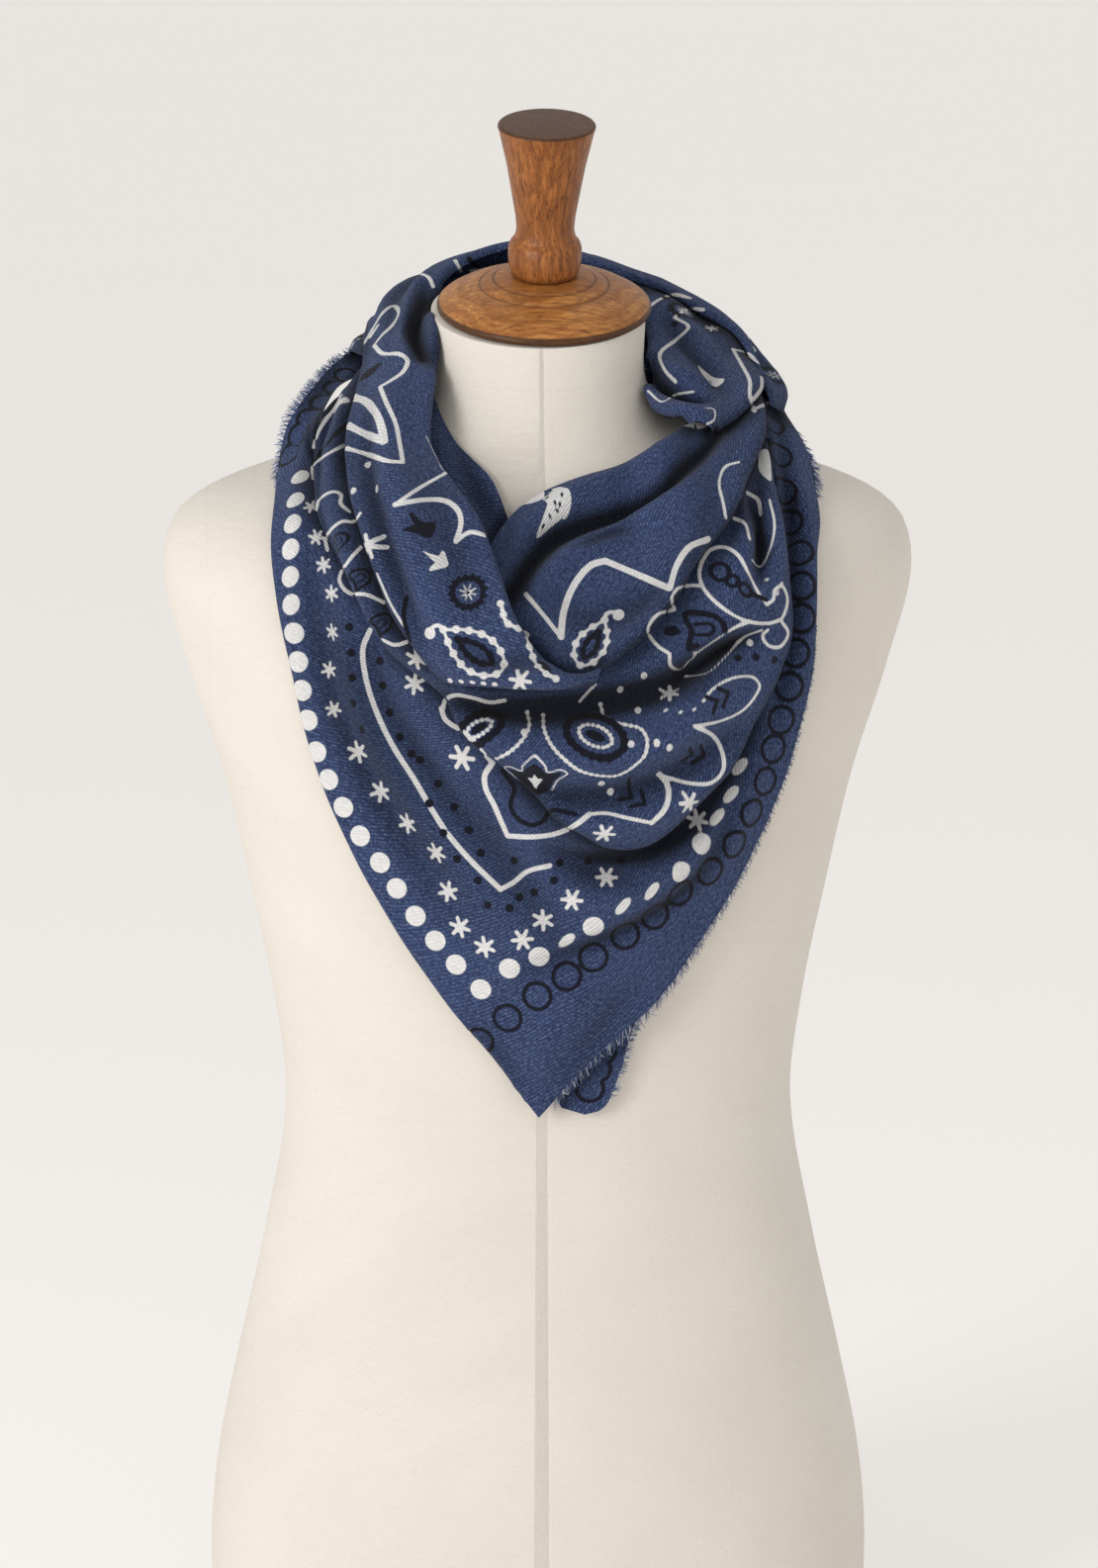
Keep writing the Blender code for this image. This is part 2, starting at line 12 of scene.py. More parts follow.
import bpy
import numpy as np
from mathutils import Matrix, Vector
from mathutils.bvhtree import BVHTree
from mathutils.kdtree import KDTree

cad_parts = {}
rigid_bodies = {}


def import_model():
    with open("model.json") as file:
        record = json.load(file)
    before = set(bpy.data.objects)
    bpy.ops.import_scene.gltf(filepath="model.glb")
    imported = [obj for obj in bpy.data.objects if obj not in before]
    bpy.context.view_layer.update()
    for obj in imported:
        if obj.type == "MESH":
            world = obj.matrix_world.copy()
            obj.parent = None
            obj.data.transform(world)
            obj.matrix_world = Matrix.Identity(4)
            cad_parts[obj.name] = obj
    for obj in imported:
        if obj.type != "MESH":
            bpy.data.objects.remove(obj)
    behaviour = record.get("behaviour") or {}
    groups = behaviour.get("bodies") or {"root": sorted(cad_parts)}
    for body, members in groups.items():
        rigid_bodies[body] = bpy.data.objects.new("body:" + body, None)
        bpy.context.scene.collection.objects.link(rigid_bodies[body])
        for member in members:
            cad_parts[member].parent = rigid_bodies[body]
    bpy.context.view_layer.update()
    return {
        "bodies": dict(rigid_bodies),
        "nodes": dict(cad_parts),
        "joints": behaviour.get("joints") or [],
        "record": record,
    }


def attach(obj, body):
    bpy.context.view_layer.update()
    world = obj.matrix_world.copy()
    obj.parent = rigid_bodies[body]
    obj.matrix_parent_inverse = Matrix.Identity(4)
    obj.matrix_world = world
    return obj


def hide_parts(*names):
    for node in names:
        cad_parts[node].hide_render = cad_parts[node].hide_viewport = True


MM = 0.001

# ---------------------------------------------------------------- the camera
PICTURE_WIDTH = 1110             # pixels
PICTURE_HEIGHT = 1585
AIM = Vector((0.0056, 0.0, 0.462))
CAMERA_AZIMUTH = math.radians(-3.0)
CAMERA_ELEVATION = math.radians(9.0)
CAMERA_DISTANCE = 3.0
PIXEL = 0.52 * MM                # what one pixel of the picture spans at the aim
SENSOR = 36.0                    # mm

# ---------------------------------------------------------------- the drape, as in the solids
FOLD_GAP = 5.0 * MM              # how far a stretch's face lies over what is below it
EDGE_GAP = 0.9 * MM              # and how far its turned edge lies over it
EDGE_ALLOWANCE = 7.0 * MM        # cloth used up by the roll of a folded edge
EDGE_SHARE = 0.28                # or this share of the stretch's width, where that is less
EDGE_STEPS = 7                   # rows of points round a folded edge
NARROW_END = 32.0 * MM           # a stretch narrower than this bulges and turns less
FOLD_END = 0.04                  # a fold's height follows half a wave, this share of it cut off at each end
FOLD_FULLNESS = 0.6              # and raised to this power, so that it fades late
CRUMPLE = 0.5                    # mm, how far the cloth is uneven everywhere
CORE_TOP = 0.58                  # the core is a line up the middle, and its top
CORE_SPREAD = 0.5                # a place on it is this share as far to the side as the cloth
FINE_PITCH = 1.05 * MM           # spacing of the cloth's points where its print is seen from the front
PANEL_PITCH = 1.44 * MM          # on the large front panel
COARSE_PITCH = 1.7 * MM          # and on the back
LIFT_PITCH = 7.0 * MM            # spacing of the points at which a stretch is laid on those below it
FOLD_STEP = 4                    # pixels or points of the cloth from one point of a fold's line to the next
SEARCH = 0.25                    # how far out from the cloth the look for what is below it starts
FAR = 0.05                       # further from any print than matters
SEED = 11                        # of the loose yarn ends

# ---------------------------------------------------------------- painted shade: how dark the folds are made
FULL_SHADE_DEPTH = 5.5                 # mm, the depth of a fold that counts as fully deep, and gets the full painted shade
OVERLAP_SHADE_REACH = 9.5 * MM         # how far the painted shade under a later edge spreads
EDGE_SHADE_DEPTH = 0.85                # how deep a turned edge counts as, for its painted shade
EDGE_SHADE_REACH = 6.0 * MM            # and how far in from it that fades
# the stretches whose turned outer edge gets painted shade
EDGE_SHADED_STRETCHES = ("scarf_mid_swag", "scarf_cowl", "scarf_right_crest", "scarf_left_strand")

# ---------------------------------------------------------------- the form, as in the solids
CAP_TILT = math.radians(16.5)
NECK_CENTRE = Vector((0.003, 0.0, 0.711))
PIECE_GAP = 0.3 * MM
FORM_RINGS = 110
FORM_SIDES = 144
TURNED_SIDES = 96
CORNER_EASE = 0.9                # mm, how far from a turned corner its rounding starts

# A section of the form: the heights of its front, sides and back, its half width and its depths.
Section = namedtuple("Section", "front_z side_z back_z half_width front_depth back_depth")
FORM_SECTIONS = [
    Section(0.000, 0.000, 0.000, 0.1665, 0.098, 0.112),
    Section(0.012, 0.012, 0.012, 0.1720, 0.103, 0.117),
    Section(0.050, 0.050, 0.050, 0.1752, 0.105, 0.119),
    Section(0.103, 0.103, 0.103, 0.1712, 0.104, 0.115),
    Section(0.155, 0.155, 0.155, 0.1609, 0.101, 0.104),
    Section(0.226, 0.226, 0.226, 0.1451, 0.095, 0.092),
    Section(0.2975, 0.2975, 0.2975, 0.1336, 0.090, 0.084),
    Section(0.352, 0.352, 0.352, 0.1396, 0.094, 0.088),
    Section(0.412, 0.412, 0.412, 0.1518, 0.102, 0.094),
    Section(0.470, 0.470, 0.470, 0.1650, 0.108, 0.100),
    Section(0.529, 0.529, 0.529, 0.1836, 0.106, 0.104),
    Section(0.570, 0.584, 0.590, 0.1955, 0.097, 0.103),
    Section(0.594, 0.607, 0.616, 0.1880, 0.088, 0.096),
    Section(0.617, 0.634, 0.641, 0.1300, 0.076, 0.082),
    Section(0.640, 0.657, 0.668, 0.0680, 0.064, 0.066),
    Section(0.660, 0.674, 0.686, 0.0565, 0.0575, 0.0575),
    Section(0.6952, 0.711, 0.7268, 0.0556, 0.0533, 0.0533),
]

# A corner of a turned piece's outline, in mm from its axis and above its foot.
Turn = namedtuple("Turn", "radius height")
CAP_PROFILE = [
    Turn(53.6, 0.0), Turn(55.6, 1.2), Turn(55.6, 3.6), Turn(53.6, 5.6), Turn(46.8, 9.6),
    Turn(39.5, 12.6), Turn(34.0, 14.0), Turn(33.3, 13.6), Turn(32.4, 15.0), Turn(27.0, 17.0),
    Turn(26.2, 16.6), Turn(25.4, 18.0), Turn(17.7, 19.4),
]
HANDLE_PROFILE = [
    Turn(16.8, 0.0), Turn(18.3, 4.0), Turn(19.1, 9.0), Turn(19.1, 14.8), Turn(17.9, 18.1),
    Turn(15.8, 20.5), Turn(14.9, 25.0), Turn(15.6, 32.5), Turn(20.2, 59.0), Turn(24.5, 77.8),
    Turn(25.4, 80.4), Turn(24.4, 81.5),
]

# ---------------------------------------------------------------- the cloth, in mm
# Each stretch runs from station to station. A station has the place of the stretch's inner edge (ix, iy, iz),
# that of its outer edge (ox, oy, oz) and how far the outer edge turns under, in degrees: 0 is a raw edge.
Station = namedtuple("Station", "ix iy iz ox oy oz turn")

UNDER_CORNER = [
    Station(14, -99, 368, 48, -96, 362, 0),
    Station(15, -99, 348, 42, -96, 345, 0),
    Station(9, -98, 328, 37, -96, 327, 0),
    Station(5, -97, 314, 28, -96, 308, 0),
    Station(7, -97, 309, 19, -96, 305, 0),
]
FRONT_PANEL = [
    Station(-66, 66, 690, -73, 72, 698, 0),
    Station(-84, 42, 680, -94, 48, 688, 0),
    Station(-98, 10, 668, -112, 15, 678, 0),
    Station(-106, -15, 655, -126, -8, 662, 0),
    Station(-106, -38, 638, -135, -14, 640, 20),
    Station(-97, -78, 614, -141, -65, 605, 110),
    Station(-86, -99, 581, -139, -78, 573, 110),
    Station(-70, -108, 557, -132, -83, 538, 110),
    Station(-52, -117, 540, -121, -86, 491, 110),
    Station(-37, -124, 528, -104, -91, 448, 110),
    Station(-23, -129, 511, -77, -97, 399, 110),
    Station(-8, -132, 497, -43, -101, 351, 100),
    Station(6, -132, 487, -5, -102, 305, 0),
    Station(21, -131, 471, 26, -104, 338, 0),
    Station(39, -127, 472, 57, -101, 367, 0),
    Station(56, -122, 482, 82, -96, 401, 0),
    Station(75, -116, 509, 109, -90, 447, 0),
    Station(90, -108, 535, 129, -86, 501, 0),
    Station(99, -100, 562, 137, -84, 552, 60),
    Station(100, -91, 594, 138, -80, 579, 110),
    Station(104, -62, 617, 140, -50, 609, 110),
    Station(108, -38, 638, 136, -22, 640, 110),
    Station(106, -8, 655, 129, 4, 663, 110),
    Station(98, 26, 670, 117, 38, 680, 110),
    Station(84, 55, 686, 96, 66, 696, 110),
]
TIP_STATION = 12                 # the station at the panel's point, where its outer edge turns sharply
MID_SWAG = [
    Station(-58, 54, 694, -68, 62, 702, 110),
    Station(-72, 28, 684, -84, 36, 690, 110),
    Station(-84, 0, 672, -98, 5, 675, 110),
    Station(-92, -28, 658, -113, -24, 656, 110),
    Station(-92, -60, 633, -119, -45, 638, 110),
    Station(-82, -98, 606, -116, -79, 609, 110),
    Station(-73, -115, 578, -104, -97, 581, 110),
    Station(-60, -124, 559, -85, -110, 551, 110),
    Station(-48, -128, 547, -65, -119, 532, 110),
    Station(-37, -130, 542, -50, -127, 515, 110),
    Station(-26, -132, 539, -34, -133, 498, 110),
    Station(-15, -133, 539, -18, -135, 483, 100),
    Station(-4, -133, 538, 2, -134, 467, 80),
    Station(9, -133, 539, 26, -130, 448, 80),
    Station(21, -131, 545, 49, -127, 448, 100),
    Station(34, -128, 556, 74, -122, 467, 110),
    Station(46, -122, 572, 97, -115, 497, 110),
    Station(59, -115, 589, 115, -108, 528, 110),
    Station(73, -103, 608, 125, -100, 552, 110),
    Station(84, -85, 626, 124, -94, 584, 110),
    Station(95, -64, 640, 119, -70, 617, 110),
    Station(96, -38, 652, 115, -42, 647, 110),
    Station(96, -8, 664, 111, -12, 662, 110),
    Station(90, 28, 678, 103, 26, 680, 110),
    Station(78, 54, 690, 88, 58, 694, 110),
]
INNER_LEFT = [
    Station(-54, -20, 689, -80, -26, 664, 0),
    Station(-55, -34, 670, -84, -52, 642, 0),
    Station(-46, -52, 651, -80, -76, 616, 0),
    Station(-37, -62, 641, -70, -92, 598, 0),
    Station(-27, -72, 630, -58, -104, 582, 0),
    Station(-21, -84, 616, -42, -114, 574, 0),
    Station(-16, -96, 601, -26, -120, 572, 0),
]
COWL = [
    Station(-40, -116, 582, -58, -134, 550, 110),
    Station(-31, -108, 600, -41, -138, 540, 110),
    Station(-18, -88, 616, -19, -142, 537, 110),
    Station(-2, -78, 626, 6, -143, 537, 110),
    Station(21, -70, 633, 26, -141, 543, 110),
    Station(43, -62, 638, 48, -136, 561, 110),
    Station(58, -68, 648, 70, -125, 589, 110),
    Station(71, -52, 654, 92, -99, 615, 110),
    Station(79, -38, 660, 107, -62, 638, 110),
    Station(86, -14, 667, 110, -28, 652, 110),
    Station(85, 12, 676, 106, 8, 664, 110),
]
RIGHT_CREST = [
    Station(14, 72, 708, 30, 98, 690, 110),
    Station(38, 64, 720, 60, 88, 700, 110),
    Station(55, 42, 714, 86, 60, 696, 110),
    Station(57, 12, 698, 103, 34, 684, 110),
    Station(55, -12, 683, 110, 10, 674, 110),
    Station(54, -34, 669, 109, -16, 660, 110),
    Station(60, -48, 659, 98, -42, 652, 110),
    Station(71, -58, 652, 86, -56, 648, 110),
]
BACK_UNDER = [
    Station(-84, -24, 660, -118, -32, 640, 0),
    Station(-74, 5, 676, -124, 2, 644, 0),
    Station(-62, 42, 688, -106, 62, 634, 0),
    Station(-40, 60, 694, -66, 98, 622, 0),
    Station(0, 68, 698, -4, 106, 612, 0),
    Station(40, 60, 694, 62, 100, 618, 0),
    Station(62, 42, 686, 108, 62, 636, 0),
    Station(76, 10, 675, 130, 12, 650, 0),
    Station(88, -25, 658, 142, -25, 627, 0),
    Station(96, -50, 630, 139, -50, 608, 0),
]
BACK_OVER = [
    Station(-64, 10, 688, -86, 16, 674, 60),
    Station(-58, 32, 698, -94, 48, 662, 60),
    Station(-40, 54, 706, -66, 92, 646, 60),
    Station(0, 66, 710, -2, 108, 636, 60),
    Station(40, 54, 706, 64, 92, 642, 60),
    Station(58, 32, 697, 96, 50, 656, 60),
    Station(66, 10, 686, 98, 18, 668, 60),
]
LEFT_STRAND = [
    Station(111, -16, 652, 117, -14, 646, 110),
    Station(110, 2, 670, 122, 12, 652, 110),
    Station(99, 26, 693, 118, 44, 664, 110),
    Station(79, 44, 712, 102, 72, 676, 110),
    Station(54, 58, 724, 76, 92, 684, 110),
    Station(28, 68, 736, 44, 104, 692, 110),
    Station(0, 74, 744, -2, 108, 694, 110),
    Station(-30, 68, 738, -50, 96, 694, 110),
    Station(-49, 46, 725, -80, 64, 690, 110),
    Station(-55, 12, 706, -87, 28, 687, 110),
    Station(-52, -22, 687, -94, -16, 671, 110),
    Station(-56, -52, 666, -100, -48, 652, 110),
    Station(-56, -72, 648, -101, -74, 632, 110),
    Station(-46, -98, 630, -95, -104, 604, 110),
    Station(-35, -115, 613, -85, -118, 579, 110),
    Station(-26, -130, 589, -73, -127, 557, 110),
    Station(-18, -140, 568, -63, -135, 541, 110),
    Station(-9, -145, 554, -53, -141, 534, 110),
    Station(1, -148, 547, -34, -144, 534, 110),
    Station(12, -149, 542, -4, -146, 534, 110),
    Station(24, -147, 545, 20, -147, 534, 110),
]


# ---------------------------------------------------------------- sight
def aim_frame():
    """The camera's place and the directions back, right and up that it sees by."""
    back = Vector((math.sin(CAMERA_AZIMUTH) * math.cos(CAMERA_ELEVATION),
                   -math.cos(CAMERA_AZIMUTH) * math.cos(CAMERA_ELEVATION), math.sin(CAMERA_ELEVATION)))
    right = (-back).cross(Vector((0, 0, 1))).normalized()
    return AIM + back * CAMERA_DISTANCE, back, right, right.cross(-back)


EYE, BACK, RIGHT, UP = aim_frame()


def sight(px, py):
    """The direction from the camera through one place of the picture."""
    across = (px - PICTURE_WIDTH / 2) * PIXEL
    down = (py - PICTURE_HEIGHT / 2) * PIXEL
    return (RIGHT * across - UP * down - BACK * CAMERA_DISTANCE).normalized()


# ---------------------------------------------------------------- curves and grids
def hermite(rows, marks, places, left_slopes, right_slopes):
    """Values at each place on the smooth curve through the rows, which stand at the marks."""
    step = np.clip(np.searchsorted(marks, places, side="right") - 1, 0, len(marks) - 2)
    span = (marks[step + 1] - marks[step])[:, None]
    f = ((places - marks[step])[:, None]) / span
    start = rows[step] * (2 * f ** 3 - 3 * f ** 2 + 1) + right_slopes[step] * span * (f ** 3 - 2 * f ** 2 + f)
    end = rows[step + 1] * (3 * f ** 2 - 2 * f ** 3) + left_slopes[step + 1] * span * (f ** 3 - f ** 2)
    return start + end


def through(rows, marks, places, corner=None, corner_columns=slice(0, 0)):
    """The rows' smooth curve at the places. At the corner row the named columns turn sharply."""
    chord = np.diff(rows, axis=0) / np.diff(marks)[:, None]
    slopes = np.vstack([chord[:1], (chord[:-1] + chord[1:]) / 2, chord[-1:]])
    left_slopes = slopes.copy()
    right_slopes = slopes.copy()
    if corner is not None:
        left_slopes[corner, corner_columns] = chord[corner - 1, corner_columns]
        right_slopes[corner, corner_columns] = chord[corner, corner_columns]
    return hermite(rows, marks, places, left_slopes, right_slopes)


def smooth_line(spots, pitch):
    """Points about a pitch apart on the smooth curve through a few spots."""
    spots = np.array(spots, dtype=float)
    marks = np.concatenate([[0], np.cumsum(np.linalg.norm(np.diff(spots, axis=0), axis=1))])
    return through(spots, marks, np.linspace(0, marks[-1], max(2, int(marks[-1] / pitch) + 1)))


def joined_ends(spots, closed=True):
    """A list of spots, with the first one again at its end if the line is closed."""
    return list(spots) + [spots[0]] if closed else list(spots)


def unit(vectors):
    """Each vector at a length of one."""
    return vectors / np.maximum(np.linalg.norm(vectors, axis=-1, keepdims=True), 1e-12)


def core_of(points):
    """The place on the core that each point lies out from."""
    return np.stack([points[..., 0] * CORE_SPREAD, points[..., 1] * 0,
                     np.minimum(points[..., 2], CORE_TOP)], axis=-1)


def grid_normals(points):
    """Normals of a grid of points, all on the side away from the core."""
    normals = unit(np.cross(np.gradient(points, axis=0), np.gradient(points, axis=1)))
    outward = np.sum(normals * (points - core_of(points)), axis=-1).sum()
    return normals if outward > 0 else -normals


def blurred(field, rounds):
    """A grid of numbers, each round averaged with its neighbours."""
    for _ in range(rounds):
        for axis in (0, 1):
            padded = np.pad(field, [(1, 1) if k == axis else (0, 0) for k in (0, 1)], mode="edge")
            low, high = (np.take(padded, range(i, i + field.shape[axis]), axis=axis) for i in (0, 2))
            field = field / 2 + (low + high) / 4
    return field


def widened(field):
    """A grid of numbers, each raised to the highest of its neighbours."""
    padded = np.pad(field, 1, mode="edge")
    return np.max([padded[1 + i:padded.shape[0] - 1 + i, 1 + j:padded.shape[1] - 1 + j]
                   for i in (-1, 0, 1) for j in (-1, 0, 1)], axis=0)


def line_distance(points, line, limit=FAR):
    """How far each point is from a line of points, up to a limit, and how far along its nearest place is."""
    best = np.full(len(points), limit)
    where = np.zeros(len(points))
    for number, (start, end) in enumerate(zip(line, line[1:])):
        way = end - start
        share = np.clip(((points - start) @ way) / max(way @ way, 1e-12), 0, 1)
        away = np.linalg.norm(points - start - share[:, None] * way, axis=1)
        closer = away < best
        best[closer] = away[closer]
        where[closer] = (number + share[closer]) / (len(line) - 1)
    return best, where


# ---------------------------------------------------------------- laying the cloth
def grid_tree(points, step=3):
    """A search tree of every few points of a grid."""
    columns = sorted({*range(0, points.shape[0], step), points.shape[0] - 1})
    rows = sorted({*range(0, points.shape[1], step), points.shape[1] - 1})
    part = points[np.ix_(columns, rows)]
    return BVHTree.FromPolygons([Vector(point) for point in part.reshape(-1, 3)],
                                grid_quads(*part.shape[:2]).tolist())


def grid_quads(columns, rows):
    """The four corners of each face of a grid of points."""
    number = np.arange(columns * rows).reshape(columns, rows)
    corners = [number[:-1, :-1], number[1:, :-1], number[1:, 1:], number[:-1, 1:]]
    return np.stack(corners, axis=-1).reshape(-1, 4)


def object_tree(made):
    """A search tree of one of the frame's or the scene's objects."""
    return BVHTree.FromPolygons([made.matrix_world @ vertex.co for vertex in made.data.vertices],
                                [tuple(face.vertices) for face in made.data.polygons])


def laid(points, below, gap, pitch):
    """Points moved out from the core, smoothly, until they are clear of all that lies below them."""
    step = max(1, round(LIFT_PITCH / pitch))
    columns = np.array(sorted({*range(0, points.shape[0], step), points.shape[0] - 1}))
    rows = np.array(sorted({*range(0, points.shape[1], max(1, step // 2)), points.shape[1] - 1}))
    part = points[np.ix_(columns, rows)]
    core = core_of(part)
    reach = np.linalg.norm(part - core, axis=-1)
    way = unit(part - core)
    lift = np.zeros(reach.shape)
    for place in np.ndindex(reach.shape):
        direction = Vector(way[place])
        start = Vector(core[place]) + direction * (reach[place] + SEARCH)
        for tree in below:
            hit = tree.ray_cast(start, -direction, reach[place] + SEARCH)[0]
            if hit is not None:
                lift[place] = max(lift[place], (hit - Vector(core[place])).length + gap - reach[place])
    lift = blurred(widened(lift), 2)
    lift = through(lift, columns.astype(float), np.arange(points.shape[0], dtype=float))
    lift = through(lift.T, rows.astype(float), np.arange(points.shape[1], dtype=float)).T
    return points + unit(points - core_of(points)) * np.clip(lift, 0, None)[..., None]


def turn_reach(angle, allowance):
    """How far a turned edge reaches past the place where it starts to turn."""
    angle = np.maximum(angle, 1e-3)
    return allowance / angle * np.sin(np.minimum(angle, math.pi / 2))


def turned_edge(face, angle, allowance):
    """The rows of points that carry a face on round its turned edge."""
    normals = grid_normals(face)[:, -1]
    side = unit(face[:, -1] - face[:, -4])
    side = unit(side - normals * np.sum(side * normals, axis=-1, keepdims=True))
    radius = (allowance / np.maximum(angle, 1e-3))[:, None]
    rows = []
    for step in range(1, EDGE_STEPS + 1):
        part = (np.maximum(angle, 1e-3) * step / EDGE_STEPS)[:, None]
        rows.append(face[:, -1] + radius * (np.sin(part) * side - (1 - np.cos(part)) * normals))
    return np.stack(rows, axis=1)


def folded(face, folds, find):
    """A face with its folds raised or sunk along their lines, and how deep in a fold its points are, which
    the look paints as shade.
    """
    height = np.zeros(face.shape[:2]).reshape(-1)
    deep = height.copy()
    points = face.reshape(-1, 3)
    for fold in folds:
        line = find(fold.spots)
        away, where = line_distance(points, line)
        fade = np.sin(math.pi * (where * (1 - 2 * FOLD_END) + FOLD_END)) ** FOLD_FULLNESS
        rise = fold.height * fade * np.exp(-(away / (fold.width * MM)) ** 2)
        height += rise * MM
        # painted shade: a trough darkens the cloth by its depth as a share of the full depth
        deep = np.maximum(deep, -rise / FULL_SHADE_DEPTH)
    deep = np.clip(deep, 0, 1).reshape(face.shape[:2])
    return face + grid_normals(face) * height.reshape(face.shape[:2])[..., None], deep


def drape(stations, pitch, below, bulge=0.0, creases=(), folds=(), corner=None, gap=FOLD_GAP,
          inner_turn=0.0):
    """A stretch of cloth as a grid of points, columns along it and rows across it, and each one's fold depth,
    for the painted shade.

    Its middle bulges by some mm, and its inner edge may turn under too, by some degrees.
    """
    table = np.array(stations, dtype=float)
    table[:, :6] *= MM
    inner_walk = np.linalg.norm(np.diff(table[:, :3], axis=0), axis=1)
    outer_walk = np.linalg.norm(np.diff(table[:, 3:6], axis=0), axis=1)
    marks = np.concatenate([[0], np.cumsum(inner_walk + outer_walk)])
    columns = int(max(outer_walk.sum(), inner_walk.sum()) / pitch)
    before = 0 if corner is None else round(columns * marks[corner] / marks[-1])
    turning = 0 if corner is None else marks[corner]
    places = np.concatenate([np.linspace(0, turning, before, endpoint=False),
                             np.linspace(turning, marks[-1], columns - before)])
    lines = through(table, marks, places, corner, slice(3, 6))
    inner = lines[:, None, 0:3]
    outer = lines[:, None, 3:6]
    width = np.linalg.norm(outer - inner, axis=-1)
    rows = max(8, int(width.max() / pitch))
    allowance = np.minimum(EDGE_ALLOWANCE, EDGE_SHARE * width[:, 0])
    ease = np.clip(width[:, 0] / NARROW_END, 0, 1)
    turn_out = np.radians(np.clip(lines[:, 6], 0, None)) * ease
    turn_in = math.radians(inner_turn) * ease
    kept_out = turn_reach(turn_out, allowance) / width[:, 0]
    kept_in = turn_reach(turn_in, allowance) / width[:, 0] if inner_turn else turn_in
    share = np.linspace(0, 1, rows)[None, :]
    v = (kept_in[:, None] + (1 - kept_out - kept_in)[:, None] * share)[..., None]
    face = inner * (1 - v) + outer * v
    face = face + grid_normals(face) * (bulge * MM * 4 * v * (1 - v) * ease[:, None, None])
    face, creased = folded(face, creases, lambda spots: shares_on(face, spots))
    face = laid(face, below, gap, pitch)
    tree = grid_tree(face, 2)
    face, deep = folded(face, folds, lambda spots: seen_on(face, tree, spots))
    deep = np.maximum(deep, creased)
    face = face + grid_normals(face) * (CRUMPLE * MM * crumpled(face))[..., None]
    parts = [face, turned_edge(face, turn_out, allowance)]
    deep = np.pad(deep, ((0, 0), (0, EDGE_STEPS)), mode="edge")
    if inner_turn:
        parts.insert(0, turned_edge(face[:, ::-1], turn_in, allowance)[:, ::-1])
        deep = np.pad(deep, ((0, 0), (EDGE_STEPS, 0)), mode="edge")
    return laid(np.concatenate(parts, axis=1), below, EDGE_GAP, pitch), deep


def crumpled(points):
    """A slow unevenness of the cloth, from -1 to 1, by three waves that never line up."""
    x, y, z = (points[..., k] / MM for k in range(3))
    return (np.sin(x / 9.7 + z / 14.3 + 1.1) + np.sin(z / 7.9 - x / 17.0 + y / 11.0)
            + np.sin((x + z) / 23.0 + y / 8.3 + 2.0)) / 3


def shares_on(face, spots):
    """The line through places given as shares along and across a face."""
    last = np.array(face.shape[:2]) - 1
    places = np.rint(smooth_line(np.array(spots) * last, FOLD_STEP)).astype(int)
    places = np.clip(places, 0, last)
    return face[places[:, 0], places[:, 1]]


def seen_on(face, tree, spots):
    """The line on a face through places of the picture; one that misses the face takes its nearest point."""
    points = face.reshape(-1, 3)
    line = []
    for px, py in smooth_line(spots, FOLD_STEP):
        way = sight(px, py)
        hit = tree.ray_cast(EYE, way)[0]
        if hit is None:
            reach = np.linalg.norm(np.cross(points - np.array(EYE), np.array(way)), axis=1)
            hit = points[reach.argmin()]
        line.append(np.array(hit))
    return np.array(line)


# ---------------------------------------------------------------- print
LINE_MARGIN = 0.012              # how far beyond a printed line the points are measured from it
STAMP_MARGIN = 0.006             # and beyond a motif
SAME_SIDE = 0.2                  # a motif prints where the cloth faces its way by at least this
LINE_STEP = 3                    # px, spacing of the sights along a line of the picture
INK_STEP = 0.7                   # mm, spacing of the points along a motif's curves
NO_LIMIT = 99.0                  # mm, further than any motif reaches


class Cloth:
    """One stretch: its grid of points, how far each point is from the print of each ink, and how deep in a
    fold each is, for the painted shade.
    """

    def __init__(self, name, points, deep):
        self.name = name
        self.grid = points
        self.points = points.reshape(-1, 3)
        self.normals = grid_normals(points).reshape(-1, 3)
        self.ink = {key: np.full(len(self.points), FAR) for key in ("white", "dark", "rings")}
        self.deep = deep.reshape(-1)
        self.tree = grid_tree(points, 1)

    def paint(self, ink, where, distance):
        """Prints a shape, given each point's distance outside it, over what was printed before."""
        self.ink[ink][where] = np.minimum(self.ink[ink][where], distance)
        other = "dark" if ink == "white" else "white"
        self.ink[other][where] = np.maximum(self.ink[other][where], -distance)

    def line(self, ink, width, line):
        """Prints a line of one width along a line of points."""
        low, high = line.min(axis=0) - LINE_MARGIN, line.max(axis=0) + LINE_MARGIN
        where = np.flatnonzero(np.all((self.points > low) & (self.points < high), axis=1))
        if len(where):
            self.paint(ink, where, line_distance(self.points[where], line)[0] - width * MM / 2)

    def stamp(self, motif, place, normal, turn=0.0, scale=1.0, across=None):
        """Prints a motif round a place, its sides along the direction across and up from it."""
        across = np.array(RIGHT if across is None else across)
        across = unit(across - normal * (across @ normal))
        upward = np.cross(normal, across)
        reach = max(part.reach for part in motif) * scale * MM
        where = np.flatnonzero(np.linalg.norm(self.points - place, axis=1) < reach + STAMP_MARGIN)
        offset = self.points[where] - place
        facing = self.normals[where] @ normal > SAME_SIDE
        where, offset = where[facing], offset[facing]
        a, b = offset @ across / (scale * MM), offset @ upward / (scale * MM)
        turn = math.radians(turn)
        flat = np.stack([a * math.cos(turn) + b * math.sin(turn),
                         b * math.cos(turn) - a * math.sin(turn)], axis=1)
        for part in motif:
            self.paint(part.ink, where, part.outside(flat) * scale * MM)


CLOTHS = []


def first_seen(px, py):
    """The stretch seen at a place of the picture, the point there and its normal."""
    best = None
    for cloth in CLOTHS:
        place, normal, _, away = cloth.tree.ray_cast(EYE, sight(px, py))
        if place is not None and (best is None or away < best[0]):
            normal = -normal if normal.dot(BACK) < 0 else normal
            best = (away, cloth, np.array(place), np.array(normal))
    return best[1:] if best else None


